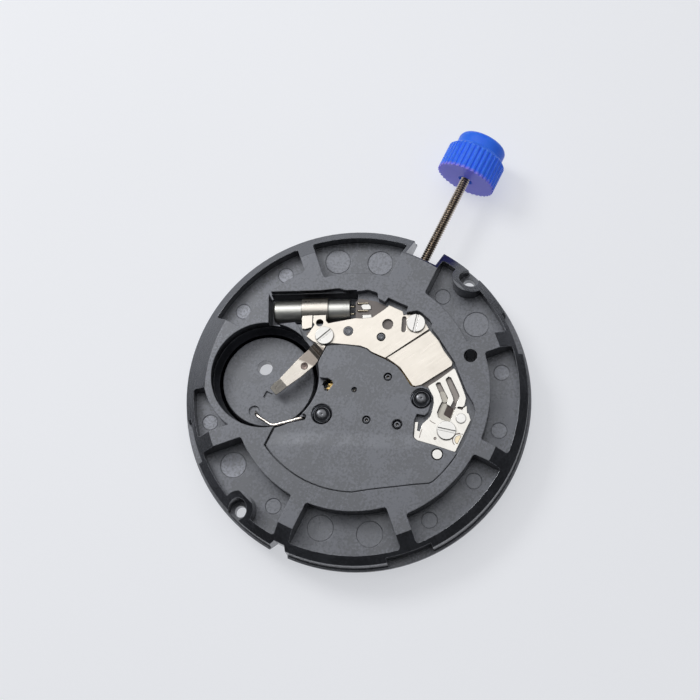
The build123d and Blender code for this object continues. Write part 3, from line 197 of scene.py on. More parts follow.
add_lamp("soft_box", (85 * mm, 60 * mm, 250 * mm), size=285 * mm, brightness=1.2)
add_lamp("key_box", (45 * mm, 150 * mm, 170 * mm), size=80 * mm, brightness=9.0)
add_lamp("sheen_box", (60 * mm, -120 * mm, 230 * mm), size=110 * mm, brightness=0.35)
room = bpy.data.worlds.new("room")
room.use_nodes = True
room.node_tree.nodes["Background"].inputs["Color"].default_value = room_colour
room.node_tree.nodes["Background"].inputs["Strength"].default_value = room_strength
bpy.context.scene.world = room

# Main plate
# The plate is one moulding in black filled plastic, with a fine sparked grain
# from the tool. Its edges are a little polished from handling, and their paler colour is
# partly painted highlight. Its walls and slopes are painted near black as shade.
plastic_shine = {"IOR": 2.3, "Specular_Tint": (0.90, 0.93, 1.0, 1.0)}
# Near black painted on walls and slopes as shade
painted_wall_shade = (0.004, 0.004, 0.006)
wear_and_highlight_grey = (0.36, 0.37, 0.41)
dust_grey = (0.42, 0.42, 0.42)


def shader_group(name, inputs, outputs):
    """An empty node group; numbers with their usual values go in, masks, heights and normals come out."""
    group = bpy.data.node_groups.new(name, "ShaderNodeTree")
    for socket_name, value in inputs.items():
        socket = group.interface.new_socket(name=socket_name, in_out="INPUT", socket_type="NodeSocketFloat")
        socket.default_value = value
    for socket_name in outputs:
        kind = "NodeSocketVector" if socket_name == "Normal" else "NodeSocketFloat"
        group.interface.new_socket(name=socket_name, in_out="OUTPUT", socket_type=kind)
    return group, group.nodes.new("NodeGroupInput").outputs, group.nodes.new("NodeGroupOutput")


def place_group(tree, group, inputs=None):
    """A node group placed in a material with that material's own values."""
    return add_node(tree, "ShaderNodeGroup", inputs, node_tree=group).outputs


def bumped(tree, height, depth, strength, normal=None):
    """A normal disturbed by a height of a real depth, laid over another normal if there is one."""
    inputs = {"Height": height, "Distance": depth, "Strength": strength}
    if normal:
        inputs["Normal"] = normal
    return add_node(tree, "ShaderNodeBump", inputs).outputs["Normal"]


# Edge wear and highlight: the mask is bright where the surface turns, and the normal rounds the corner; on
# the black plastic the paler edge colour is partly wear and partly painted highlight
edge_wear_and_highlight, group_in, group_out = shader_group(
    "edge_wear_and_highlight", {"Radius": 0.03 * mm, "Breakup": 9000.0}, ["Edge", "Normal"],
)
rounded = add_node(edge_wear_and_highlight, "ShaderNodeBevel", {"Radius": group_in["Radius"]}, samples=6).outputs["Normal"]
true_face = add_node(edge_wear_and_highlight, "ShaderNodeNewGeometry").outputs["Normal"]
agreement = vector_worked(edge_wear_and_highlight, "DOT_PRODUCT", rounded, true_face)
turn_mask = spread(edge_wear_and_highlight, agreement, 0.995, 0.75)
edge_breakup = noise(edge_wear_and_highlight, own_place(edge_wear_and_highlight), group_in["Breakup"], 3.0)
feed(edge_wear_and_highlight, group_out, Edge=worked(edge_wear_and_highlight, "MULTIPLY", turn_mask, edge_breakup), Normal=rounded)

# Moulded grain: a fine height, a ripple and a broad mottle that move colour and gloss, and specks of dust
moulded_grain, group_in, group_out = shader_group(
    "moulded_grain", {"Grain": 22000.0, "Mottle": 900.0}, ["Height", "Fine", "Mottle", "Specks"],
)
grain_place = own_place(moulded_grain)
sparked = noise(moulded_grain, grain_place, group_in["Grain"], 4.0, 0.65)
ripple = noise(moulded_grain, grain_place, 4200.0, 3.0, 0.7)
ripple_height = worked(moulded_grain, "MULTIPLY", ripple, 1.2)
speck_cells = add_node(moulded_grain, "ShaderNodeTexVoronoi", {
    "Vector": grain_place, "Scale": 620.0, "Randomness": 1.0,
})
feed(
    moulded_grain, group_out, Height=worked(moulded_grain, "ADD", sparked, ripple_height), Fine=ripple,
    Mottle=noise(moulded_grain, grain_place, group_in["Mottle"], 5.0, 0.6),
    Specks=spread(moulded_grain, speck_cells.outputs["Distance"], 0.045, 0.02),
)

# Smooth and shaded walls: the mould's walls and slopes are smooth, and their colour is painted near black as
# shade where they turn from facing up
smooth_and_shaded_walls, group_in, group_out = shader_group("smooth_and_shaded_walls", {"Softness": 0.75}, ["Wall"])
facing = add_node(smooth_and_shaded_walls, "ShaderNodeNewGeometry").outputs["Normal"]
facing_up = add_node(smooth_and_shaded_walls, "ShaderNodeSeparateXYZ", {"Vector": facing}).outputs["Z"]
feed(smooth_and_shaded_walls, group_out, Wall=spread(smooth_and_shaded_walls, facing_up, group_in["Softness"], 0.72))


def black_moulding(name, deep, pale, gloss, grain_depth=0.004 * mm, edge_radius=0.02 * mm, step=None):
    """Black filled plastic: mottled colour, glossy walls painted dark as shade, paler edges that are partly
    wear and partly painted highlight, dust and a sparked grain.
    """
    material, tree, shader = new_finish(name, **plastic_shine)
    edge = place_group(tree, edge_wear_and_highlight, {"Radius": edge_radius, "Breakup": 4000.0})
    grain = place_group(tree, moulded_grain, {"Grain": 16000.0, "Mottle": 420.0})
    wall = place_group(tree, smooth_and_shaded_walls, {"Softness": 0.93})["Wall"]
    mottle_share = spread(tree, worked(tree, "ADD", grain["Mottle"], grain["Fine"]), 0.92, 1.10)
    # Walls and slopes take a near-black colour: painted shade
    wall_shaded = mixed(tree, wall, mixed(tree, mottle_share, deep, pale), painted_wall_shade)
    # Paler edges: partly handling wear, partly painted highlight
    worn_and_lit = mixed(tree, spread(tree, edge["Edge"], 0.18, 0.5, 0.0, 0.9), wall_shaded, wear_and_highlight_grey)
    dusty = mixed(tree, worked(tree, "MULTIPLY", grain["Specks"], 0.5), worn_and_lit, dust_grey)
    land_gloss = spread(tree, grain["Mottle"], 0.3, 0.7, *gloss)
    wall_gloss = spread(tree, wall, 0.0, 0.25, 1.0, 0.3)
    normal = bumped(tree, grain["Height"], grain_depth, 0.6, edge["Normal"])
    if step:
        normal = bumped(tree, place_group(tree, step)["Height"], 0.2 * mm, 0.7, normal)
    gloss_here = worked(tree, "MULTIPLY", land_gloss, wall_gloss)
    feed(tree, shader, Base_Color=dusty, Roughness=gloss_here, Normal=normal)
    return material


def dress(node_name, material):
    """The CAD node keeps its shape and takes this finish."""
    mesh = frame["nodes"][node_name].data
    for index in range(len(mesh.materials)):
        mesh.materials[index] = material


plate_plastic = black_moulding(
    "plate_plastic", (0.003, 0.003, 0.005), (0.100, 0.104, 0.126), gloss=(0.34, 0.48),
    grain_depth=0.012 * mm, edge_radius=0.08 * mm,
)
dress("main_plate", plate_plastic)

# Ejector marks
# Round pins of the moulding tool leave paler discs on the floors of the ring's
# pockets. Each is a thin disc in its shallow recess, with a dark gap round it.
mark_floor = 1.44 * mm
mark_height = 0.05 * mm
mark_level = mark_floor + mark_height / 2
mark_sides = 56
broad_pin = 1.12
slim_pin = 0.66
# Place, radius and tone of each disc
mark_table = [
    (-10.58, 7.16, broad_pin, 1.0), (-12.23, -2.53, broad_pin, 0.35), (-10.80, -6.72, broad_pin, 0.30),
    (10.69, -7.01, broad_pin, 0.45), (12.32, 3.60, broad_pin, 0.65), (10.79, 7.26, broad_pin, 0.60),
    (-12.32, 2.16, slim_pin, 0.45), (-7.38, -10.91, slim_pin, 0.40), (-2.53, -12.94, slim_pin, 0.50),
    (2.57, -13.04, slim_pin, 0.75), (7.53, -11.01, slim_pin, 0.80), (11.80, -3.09, slim_pin, 0.60),
    (7.50, 11.11, slim_pin, 1.0), (2.66, 13.10, slim_pin, 1.0), (-8.03, 10.94, slim_pin, 1.0),
]
mark_deep = (0.012, 0.013, 0.016)
mark_pale = (0.36, 0.37, 0.43)
mark_gap = (0.006, 0.006, 0.008)

mark_tree = bpy.data.node_groups.new("ejector_marks", "GeometryNodeTree")
mark_sockets = {}
for socket_name, kind in (
    ("Geometry", "NodeSocketGeometry"), ("Height", "NodeSocketFloat"), ("Material", "NodeSocketMaterial"),
):
    socket = mark_tree.interface.new_socket(name=socket_name, in_out="INPUT", socket_type=kind)
    mark_sockets[socket_name] = socket.identifier
mark_tree.interface.new_socket(name="Geometry", in_out="OUTPUT", socket_type="NodeSocketGeometry")
tree_in = mark_tree.nodes.new("NodeGroupInput").outputs
tree_out = mark_tree.nodes.new("NodeGroupOutput")
mark_points = add_node(mark_tree, "GeometryNodeMeshToPoints", {"Mesh": tree_in["Geometry"]})
mark_size = add_node(mark_tree, "GeometryNodeInputNamedAttribute", {"Name": "mark_radius"}, data_type="FLOAT")
mark_scale = add_node(mark_tree, "ShaderNodeCombineXYZ", {
    "X": mark_size.outputs["Attribute"], "Y": mark_size.outputs["Attribute"], "Z": 1.0,
})
mark_disc = add_node(mark_tree, "GeometryNodeMeshCylinder", {
    "Vertices": mark_sides, "Radius": 1.0, "Depth": tree_in["Height"],
})
marks_placed = add_node(mark_tree, "GeometryNodeInstanceOnPoints", {
    "Points": mark_points.outputs["Points"], "Instance": mark_disc.outputs["Mesh"],
    "Scale": mark_scale.outputs["Vector"],
})
marks_real = add_node(mark_tree, "GeometryNodeRealizeInstances", {
    "Geometry": marks_placed.outputs["Instances"],
})
marks_finished = add_node(mark_tree, "GeometryNodeSetMaterial", {
    "Geometry": marks_real.outputs["Geometry"], "Material": tree_in["Material"],
})
feed(mark_tree, tree_out, Geometry=marks_finished.outputs["Geometry"])

# Pin print: a mottled paler disc; its own mark_tone says how pale
mark_finish, tree, shader = new_finish("ejector_print", **plastic_shine)
grain = place_group(tree, moulded_grain, {"Grain": 9000.0, "Mottle": 1800.0})
mark_tone = add_node(tree, "ShaderNodeAttribute", attribute_name="mark_tone").outputs["Fac"]
mark_spread = spread(tree, grain["Fine"], 0.36, 0.56, 0.85, 0.0)
feed(
    tree, shader, Base_Color=mixed(tree, mark_spread, mixed(tree, mark_tone, mark_deep, mark_pale), mark_gap),
    Roughness=spread(tree, grain["Fine"], 0.3, 0.7, 0.3, 0.5),
    Normal=bumped(tree, grain["Height"], 0.02 * mm, 0.7),
)

mark_seed_mesh = bpy.data.meshes.new("ejector_marks_seed")
mark_seed_mesh.from_pydata([(x * mm, y * mm, mark_level) for x, y, radius, tone in mark_table], [], [])
mark_seed_mesh.attributes.new("mark_radius", "FLOAT", "POINT").data.foreach_set(
    "value", [radius * mm for x, y, radius, tone in mark_table])
mark_seed_mesh.attributes.new("mark_tone", "FLOAT", "POINT").data.foreach_set(
    "value", [tone for x, y, radius, tone in mark_table])
mark_seed = bpy.data.objects.new("ejector_marks_seed", mark_seed_mesh)
bpy.context.scene.collection.objects.link(mark_seed)
modifier = mark_seed.modifiers.new("growth", "NODES")
modifier.node_group = mark_tree
modifier[mark_sockets["Height"]] = mark_height
modifier[mark_sockets["Material"]] = mark_finish
mark_mesh = bpy.data.meshes.new_from_object(mark_seed.evaluated_get(bpy.context.evaluated_depsgraph_get()))
mark_mesh.name = "ejector_marks"
mark_seed.modifiers.remove(modifier)
bpy.data.objects.remove(mark_seed)
marks = link_piece(mark_mesh, "ejector_marks", mark_finish, smooth_angle=30)
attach(marks, "movement")

# Train bridge
# A black moulded cover over the gear train, smoother than the plate, with a soft
# step where it rises over the motor. Two domed posts of the plate hold it.
step_way = (911.0, 412.0, 0.0)
step_low = -4.9
step_high = -3.3

# Soft step: the height falls off along a line across the bridge
motor_step, group_in, group_out = shader_group("motor_step", {}, ["Height"])
step_place = own_place(motor_step)
step_distance = vector_worked(motor_step, "DOT_PRODUCT", step_place, step_way)
step_bent = worked(motor_step, "ADD", step_distance, noise(motor_step, step_place, 240.0, 2.0))
feed(motor_step, group_out, Height=spread(
    motor_step, step_bent, step_low, step_high, 1.0, 0.0, interpolation_type="SMOOTHERSTEP",
))

bridge_plastic = black_moulding(
    "bridge_plastic", (0.003, 0.003, 0.005), (0.096, 0.100, 0.120), gloss=(0.32, 0.44),
    grain_depth=0.008 * mm, edge_radius=0.08 * mm, step=motor_step,
)
dress("train_bridge", bridge_plastic)


def turned(name, profile, frames, material, segments=40, smooth_angle=30):
    """A shape turned about the upright axis of each frame.

    The profile is radius and level in mm. It is closed on itself, or starts and ends on the axis.
    """
    mesh = bpy.data.meshes.new(name)
    shape = bmesh.new()
    for frame_matrix in frames:
        rings = []
        for radius, level in profile:
            turns = [2 * math.pi * step / segments for step in range(segments if radius else 1)]
            rings.append([
                shape.verts.new(frame_matrix @ Vector((
                    radius * mm * math.cos(turn), radius * mm * math.sin(turn), level * mm,
                ))) for turn in turns
            ])
        pairs = list(zip(rings, rings[1:]))
        if profile[0][0]:
            pairs.append((rings[-1], rings[0]))
        for upper, lower in pairs:
            for step in range(segments):
                following = (step + 1) % segments
                corners = [upper[step % len(upper)], lower[step % len(lower)],
                           lower[following % len(lower)], upper[following % len(upper)]]
                shape.faces.new(list(dict.fromkeys(corners)))
    bmesh.ops.recalc_face_normals(shape, faces=shape.faces)
    shape.to_mesh(mesh)
    shape.free()
    return link_piece(mesh, name, material, smooth_angle)


def upright_frame(x, y, level, slope=(0.0, 0.0)):
    """A frame at a place in mm, its flat directions tilted by the slope."""
    tilt = Matrix(((1, 0, 0, 0), (0, 1, 0, 0), (slope[0], slope[1], 1, 0), (0, 0, 0, 1)))
    return Matrix.Translation((x * mm, y * mm, level * mm)) @ tilt


# Each post stands in a well with a sloped wall, and a sloped skirt runs round the foot of the battery's
# well. A plug closes the guide hole, and two pegs that hold the sheets have domed caps.
post_level = 3.47
post_frames = [upright_frame(-3.25, 1.65, post_level), upright_frame(1.85, -5.75, post_level)]
post_profile = [
    (0, 0.08), (0.04, 0.08), (0.06, 0.16), (0.11, 0.178), (0.22, 0.172), (0.38, 0.145), (0.52, 0.09),
    (0.62, 0.0), (0.67, -0.09), (0.69, -0.2), (0.69, -0.4), (0, -0.4),
]
cone_profile = [(0.945, 0.135), (0.72, -0.15), (0.72, -0.165), (0.945, -0.165)]
skirt_frame = upright_frame(-2.25, 7.95, 0)
skirt_profile = [(4.87, 2.3), (4.22, 0.93), (4.22, 0.91), (4.87, 0.91)]
plug_frame = upright_frame(7.22, -8.05, 0)
plug_profile = [(0, 0.4), (0.59, 0.4), (0.59, 0.15), (0, 0.15)]
peg_level = 3.33
broad_peg_frame = upright_frame(4.70, 3.0, peg_level)
broad_cap_profile = [(0, 0.01), (0.05, 0.02), (0.26, 0.03), (0.39, -0.05), (0.39, -0.1), (0, -0.1)]
small_peg_frame = upright_frame(5.47, 0.04, peg_level)
small_cap_profile = [(0, 0.01), (0.04, 0.02), (0.17, 0.03), (0.28, -0.05), (0.28, -0.1), (0, -0.1)]
# A darker copy of the black plastic: painted shade for the posts, the wells and skirt, the plug, the peg caps
# and the oil cups
shaded_post_plastic = black_moulding(
    "shaded_post_plastic", (0.006, 0.006, 0.008), (0.016, 0.017, 0.021), gloss=(0.26, 0.36),
)
for moulded in (
    turned("post_domes", post_profile, post_frames, shaded_post_plastic, segments=48, smooth_angle=40),
    turned("post_cones", cone_profile, post_frames, shaded_post_plastic, segments=64),
    turned("well_skirt", skirt_profile, [skirt_frame], shaded_post_plastic, segments=128),
    turned("guide_plug", plug_profile, [plug_frame], shaded_post_plastic),
    turned("broad_peg_cap", broad_cap_profile, [broad_peg_frame], shaded_post_plastic),
    turned("small_peg_cap", small_cap_profile, [small_peg_frame], shaded_post_plastic),
):
    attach(moulded, "movement")

# Bearing rings
# A raised ring stands in each oil cup round the pivot's hole, and the end of
# each steel arbor shows in the hole.
cup_floor = 3.375
ring_wall = 0.03
ring_bore = 0.12
cup_width = 0.12
# Outer radius of the ring and its rise over the cup's floor, by body
bearings = {"fourth": (0.17, 0.03), "fifth": (0.25, 0.1), "third": (0.25, 0.1), "rotor": (0.28, 0.12)}
arbor_places = {
    joint["child"]: (joint["pos_m"][0] / mm, joint["pos_m"][1] / mm)
    for joint in frame["joints"] if joint["type"] == "hinge"
}
ring_plastic = black_moulding("ring_plastic", (0.05, 0.052, 0.06), (0.09, 0.093, 0.105), gloss=(0.30, 0.40))
for index, (body, (outer, rise)) in enumerate(bearings.items()):
    bearing_frame = upright_frame(*arbor_places[body], cup_floor)
    ring_profile = [
        (outer - ring_wall, rise + 0.1), (outer, rise + 0.07), (outer, 0.0), (ring_bore + 0.02, 0.0),
        (ring_bore, rise), (ring_bore + 0.03, rise + 0.1),
    ]
    cup_foot = outer + ring_wall
    cup_rim = cup_foot + cup_width
    # The cup round each ring is in the darker plastic: painted shade
    cup_profile = [(cup_rim, 0.1), (cup_foot, 0.01), (cup_foot, 0.0), (cup_rim, 0.0)]
    for moulded in (
        turned(f"bearing_ring_{index}", ring_profile, [bearing_frame], ring_plastic, smooth_angle=35),
        turned(f"oil_cup_{index}", cup_profile, [bearing_frame], shaded_post_plastic, smooth_angle=35),
    ):
        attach(moulded, "movement")

# Nickel sheets
# The circuit cover, the shield and the contact plate are blanked from thin
# nickel silver, left satin from rolling, with bright sheared edges.
# Brown painted on the strap as shade
painted_strap_shade = (0.13, 0.10, 0.085)
seam_brown = (0.035, 0.030, 0.028)

# Rolled metal: long faint lines along the rolling direction and cloudy handling marks
rolled_metal, group_in, group_out = shader_group(
    "rolled_metal", {"Turn": 0.0, "Lines": 12000.0, "Clouds": 500.0}, ["Lines", "Clouds"],
)
rolled_place = own_place(rolled_metal)
line_turn = add_node(rolled_metal, "ShaderNodeVectorRotate", {
    "Vector": rolled_place, "Angle": group_in["Turn"],
}, rotation_type="Z_AXIS")
line_stretch = vector_worked(rolled_metal, "MULTIPLY", line_turn.outputs["Vector"], (0.06, 1.0, 1.0))
feed(
    rolled_metal, group_out, Lines=noise(rolled_metal, line_stretch, group_in["Lines"], 3.0),
    Clouds=noise(rolled_metal, rolled_place, group_in["Clouds"], 4.0),
)

# Seam shade: grime and shadow gather where two surfaces meet and in narrow slots
seam_shade, group_in, group_out = shader_group("seam_shade", {"Reach": 0.16 * mm}, ["Seam"])
seam_light = add_node(seam_shade, "ShaderNodeAmbientOcclusion", {"Distance": group_in["Reach"]}, samples=8)
feed(seam_shade, group_out, Seam=spread(seam_shade, seam_light.outputs["AO"], 0.86, 0.45))

# Strap shade: painted shade that darkens the strap brown between its root and its dimple, where it lies lower
strap_shade, group_in, group_out = shader_group("strap_shade", {}, ["Stain"])
shade_place = add_node(strap_shade, "ShaderNodeSeparateXYZ", {"Vector": own_place(strap_shade)}).outputs
shade_start = spread(strap_shade, shade_place["X"], 0.35 * mm, 0.55 * mm, 0.0, 0.75)
shade_end = spread(strap_shade, shade_place["X"], 2.3 * mm, 2.5 * mm, 1.0, 0.0)
shade_low = spread(strap_shade, shade_place["Z"], 3.36 * mm, 3.30 * mm)
shade_band = worked(strap_shade, "MULTIPLY", shade_start, shade_end)
feed(strap_shade, group_out, Stain=worked(strap_shade, "MULTIPLY", shade_band, shade_low))


def plain_metal(name, deep, pale, edge_tint, gloss, turn=0.0, line_scale=9000.0, line_depth=0.002 * mm,
                edge_radius=0.02 * mm, painted_shade=None):
    """Bare metal: clouded colour, rolling lines in the gloss and height, brighter edges, perhaps a painted
    shade.
    """
    material, tree, shader = new_finish(name, Metallic=1.0)
    edge = place_group(tree, edge_wear_and_highlight, {"Radius": edge_radius, "Breakup": 6000.0})
    rolled = place_group(tree, rolled_metal, {"Turn": turn, "Lines": line_scale, "Clouds": 600.0})
    colour = mixed(tree, edge["Edge"], mixed(tree, rolled["Clouds"], deep, pale), edge_tint)
    if painted_shade:
        # Where a shade mask is given, its brown is painted shade
        colour = mixed(tree, place_group(tree, painted_shade)["Stain"], colour, painted_strap_shade)
    feed(
        tree, shader, Base_Color=mixed(tree, place_group(tree, seam_shade)["Seam"], colour, seam_brown),
        Roughness=spread(tree, rolled["Lines"], 0.3, 0.7, *gloss),
        Normal=bumped(tree, rolled["Lines"], line_depth, 0.5, edge["Normal"]),
    )
    return material


sheet_metal = plain_metal(
    "sheet_metal", (0.66, 0.615, 0.55), (0.83, 0.78, 0.71), (0.90, 0.88, 0.84), gloss=(0.26, 0.40), turn=0.5,
    line_depth=0.003 * mm, edge_radius=0.05 * mm, painted_shade=strap_shade,
)
for sheet_node in ("circuit_cover", "shield_plate", "dial_side_cover"):
    dress(sheet_node, sheet_metal)
contact_metal = plain_metal(
    "contact_metal", (0.66, 0.64, 0.60), (0.80, 0.78, 0.74), (0.90, 0.89, 0.87), gloss=(0.18, 0.30), turn=2.1,
    line_depth=0.003 * mm, edge_radius=0.04 * mm,
)
dress("contact_spring_plate", contact_metal)


def cut_sheet(name, outlines, low, high, material, bevel):
    """Flat pieces from outlines in mm, with a small bevel round the upper edge."""
    mesh = bpy.data.meshes.new(name)
    shape = bmesh.new()
    for outline in outlines:
        upper = [shape.verts.new((x * mm, y * mm, high * mm)) for x, y in outline]
        lower = [shape.verts.new((x * mm, y * mm, low * mm)) for x, y in outline]
        shape.faces.new(upper)
        shape.faces.new(lower[::-1])
        for index in range(len(outline)):
            following = (index + 1) % len(outline)
            shape.faces.new([upper[index], lower[index], lower[following], upper[following]])
    bmesh.ops.recalc_face_normals(shape, faces=shape.faces)
    middle = (low + high) / 2 * mm
    rim = [edge for edge in shape.edges if all(vert.co.z > middle for vert in edge.verts)]
    bmesh.ops.bevel(shape, geom=rim, offset=bevel * mm, segments=1, profile=0.5, affect="EDGES")
    shape.to_mesh(mesh)
    shape.free()
    return link_piece(mesh, name, material, smooth_angle=30)


def ring_outline(x, y, radius, first, last, sides):
    """Points on an arc, in mm and degrees."""
    turns = [math.radians(first + (last - first) * side / sides) for side in range(sides + 1)]
    return [(x + radius * math.cos(turn), y + radius * math.sin(turn)) for turn in turns]


def band_outline(path, width):
    """A narrow band along a path of points."""
    left = []
    right = []
    for index, point in enumerate(path):
        before = Vector(path[max(index - 1, 0)])
        after = Vector(path[min(index + 1, len(path) - 1)])
        across = (after - before).orthogonal().normalized() * width / 2
        left.append(tuple(Vector(point) + across))
        right.append(tuple(Vector(point) - across))
    return left + right[::-1]


# Bends and folds of the contact plate: thin dark strips of painted shade, along the bends and as the painted
# shadow round a screw head, a gilt half disc with an arc of painted shade round its step, and two small
# dimples darkened as painted shade
contact_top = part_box("contact_spring_plate")[1].z / mm
fold_floor = contact_top - 0.05
fold_width = 0.07
fold_paths = [
    [(-0.32, -8.45), (-0.50, -8.65), (-0.62, -8.95), (-0.60, -9.25), (-0.45, -9.45), (-0.15, -9.60),
     (0.12, -9.75), (0.32, -9.95), (0.48, -10.25), (0.54, -10.45)],
    [(0.10, -8.35), (0.20, -8.70), (0.30, -9.10), (0.42, -9.60)],
    [(-1.40, -7.12), (-1.00, -7.02), (-0.60, -6.99)],
    [(0.42, -7.25), (0.36, -7.55), (0.36, -7.85)],
]
fold_outlines = [band_outline(fold, fold_width) for fold in fold_paths]
dimple_profile = [(0.13, 0.0), (0.11, 0.022), (0.07, 0.022), (0.045, 0.008), (0.045, -0.05), (0.13, -0.05)]
dimple_frames = [upright_frame(-0.85, -8.38, contact_top), upright_frame(0.80, -9.38, contact_top)]
disc_place = (-0.06, -10.38)
disc_radius = 0.42
half_ring_radius = 0.60
half_ring_width = 0.08
half_ring_path = ring_outline(*disc_place, half_ring_radius, 20, 160, 20)
half_ring_outline = band_outline(half_ring_path, half_ring_width)
# Dark brown metal: painted shade for the bends, the step round the half disc and the dimples
painted_press_shade = plain_metal(
    "painted_press_shade", (0.16, 0.12, 0.11), (0.26, 0.21, 0.19), (0.40, 0.36, 0.33), gloss=(0.35, 0.5),
    edge_radius=0.01 * mm,
)
gilt_metal = plain_metal(
    "gilt_metal", (0.70, 0.60, 0.42), (0.84, 0.74, 0.56), (0.92, 0.86, 0.70), gloss=(0.25, 0.36), turn=0.7,
)
folds = cut_sheet("contact_fold_shades", fold_outlines, fold_floor, contact_top + 0.004, painted_press_shade, bevel=0.01)
dimples = turned("contact_dimples", dimple_profile, dimple_frames, painted_press_shade, segments=24)
half_disc = cut_sheet(
    "contact_half_disc", [ring_outline(*disc_place, disc_radius, 0, 180, 24)], contact_top - 0.02,
    contact_top + 0.04, gilt_metal, bevel=0.03,
)
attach(half_disc, "movement")
half_ring = cut_sheet(
    "contact_half_ring_shade", [half_ring_outline], fold_floor, contact_top + 0.006, painted_press_shade, bevel=0.01,
)

# Strap dimple: a small dished ring that follows the strap's slope, darkened as painted shade
strap_frame = upright_frame(0.13, 5.20, 3.048, slope=(0.121, -0.051))
strap_profile = [
    (0, 0.03), (0.06, 0.03), (0.08, 0.006), (0.20, 0.012), (0.26, 0.035), (0.31, 0.035), (0.34, 0.0),
    (0.34, -0.03), (0, -0.03),
]
strap_ring = turned("strap_dimple", strap_profile, [strap_frame], painted_press_shade, segments=36)
for pressed in (folds, dimples, half_ring, strap_ring):
    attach(pressed, "movement")

# Screws, pins and levers
# Small turned steel parts, hardened and polished. The screws are slotted for a
# blade and hold the sheets down on the plate, and each arbor ends in a pivot.
screw_steel = plain_metal(
    "screw_steel", (0.62, 0.61, 0.59), (0.78, 0.77, 0.75), (0.88, 0.88, 0.87), gloss=(0.16, 0.26), turn=0.9,
    line_scale=14000.0, edge_radius=0.04 * mm,
)
for steel_node in (
    "cover_screws", "steel_pin", "contact_rivet", "dial_side_screws", "setting_lever", "yoke", "clutch",
    "coil_core", "stator",
):
    dress(steel_node, screw_steel)

pivot_profile = [(0, 0.03), (0.06, 0.02), (0.09, -0.02), (0.09, -0.12), (0, -0.12)]
arbor_nodes = {"fourth": "fourth_wheel", "fifth": "fifth_wheel", "third": "third_wheel", "rotor": "rotor"}
for body, arbor_node in arbor_nodes.items():
    tip_frame = upright_frame(*arbor_places[body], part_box(arbor_node)[1].z / mm)
    tip = turned(f"{body}_pivot_tip", pivot_profile, [tip_frame], screw_steel, segments=24, smooth_angle=35)
    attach(tip, body)

# Winding stem
# Blued-brown carbon steel: a square for the clutch, a grooved body for the
# lever, and a long 0.9 mm thread that the crown screws on.
stem_low, stem_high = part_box("stem")
stem_level = (stem_low.z + stem_high.z) / 2 / mm
stem_start = stem_low.x / mm
square_end = 8.05
square_half = 0.25
body_radius = 0.55
groove_start = 8.54
groove_end = 9.06
groove_radius = 0.28
thread_start = 13.55
thread_end = stem_high.x / mm - 0.02
thread_pitch = 0.225
thread_root = 0.31
thread_crest = 0.45
thread_run_in = 0.3
flank_slope = 2.5
root_flat = 0.12
steps_per_turn = 10
stem_sides = 32

stem_rings = [
    (stem_start, 0), (stem_start, "square"), (square_end, "square"), (square_end, body_radius),
    (groove_start, body_radius), (groove_start, groove_radius), (groove_end, groove_radius),
    (groove_end, body_radius), (thread_start, body_radius), (thread_start, thread_root),
]
thread_length = thread_end - thread_start
thread_steps = int(thread_length / thread_pitch * steps_per_turn)
for step in range(1, thread_steps):
    stem_rings.append((thread_start + thread_length * step / thread_steps, "thread"))
stem_rings += [(thread_end, thread_root), (thread_end, 0)]


def stem_radius(place, kind, turn):
    """Half the width of the stem at a place along it, in the direction of the turn."""
    if kind == "square":
        return square_half / max(abs(math.cos(turn)), abs(math.sin(turn)))
    if kind != "thread":
        return kind
    phase = ((place - thread_start) / thread_pitch - turn / (2 * math.pi)) % 1.0
    run_in = min(1.0, (place - thread_start) / thread_run_in, (thread_end - place) / thread_run_in)
    height = max(0.0, min(1.0, flank_slope * abs(phase - 0.5) - root_flat))
    return thread_root + (thread_crest - thread_root) * height * run_in


stem_mesh = bpy.data.meshes.new("threaded_stem")
stem_shape = bmesh.new()
stem_loops = []
for place, kind in stem_rings:
    loop = []
    for side in range(1 if kind == 0 else stem_sides):
        turn = 2 * math.pi * (side + 0.5) / stem_sides
        radius = stem_radius(place, kind, turn)
        loop.append(stem_shape.verts.new((
            place * mm, radius * math.cos(turn) * mm, (stem_level + radius * math.sin(turn)) * mm,
        )))
    stem_loops.append(loop)
for near, far in zip(stem_loops, stem_loops[1:]):
    for side in range(stem_sides):
        following = (side + 1) % stem_sides
        corners = [near[side % len(near)], near[following % len(near)],
                   far[following % len(far)], far[side % len(far)]]
        stem_shape.faces.new(list(dict.fromkeys(corners)))
bmesh.ops.recalc_face_normals(stem_shape, faces=stem_shape.faces)
stem_shape.to_mesh(stem_mesh)
stem_shape.free()
stem_steel = plain_metal(
    "stem_steel", (0.52, 0.44, 0.36), (0.76, 0.67, 0.56), (0.90, 0.84, 0.74), gloss=(0.24, 0.36),
)
threaded_stem = link_piece(stem_mesh, "threaded_stem", stem_steel, smooth_angle=40)
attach(threaded_stem, "stem_and_crown")
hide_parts("stem")

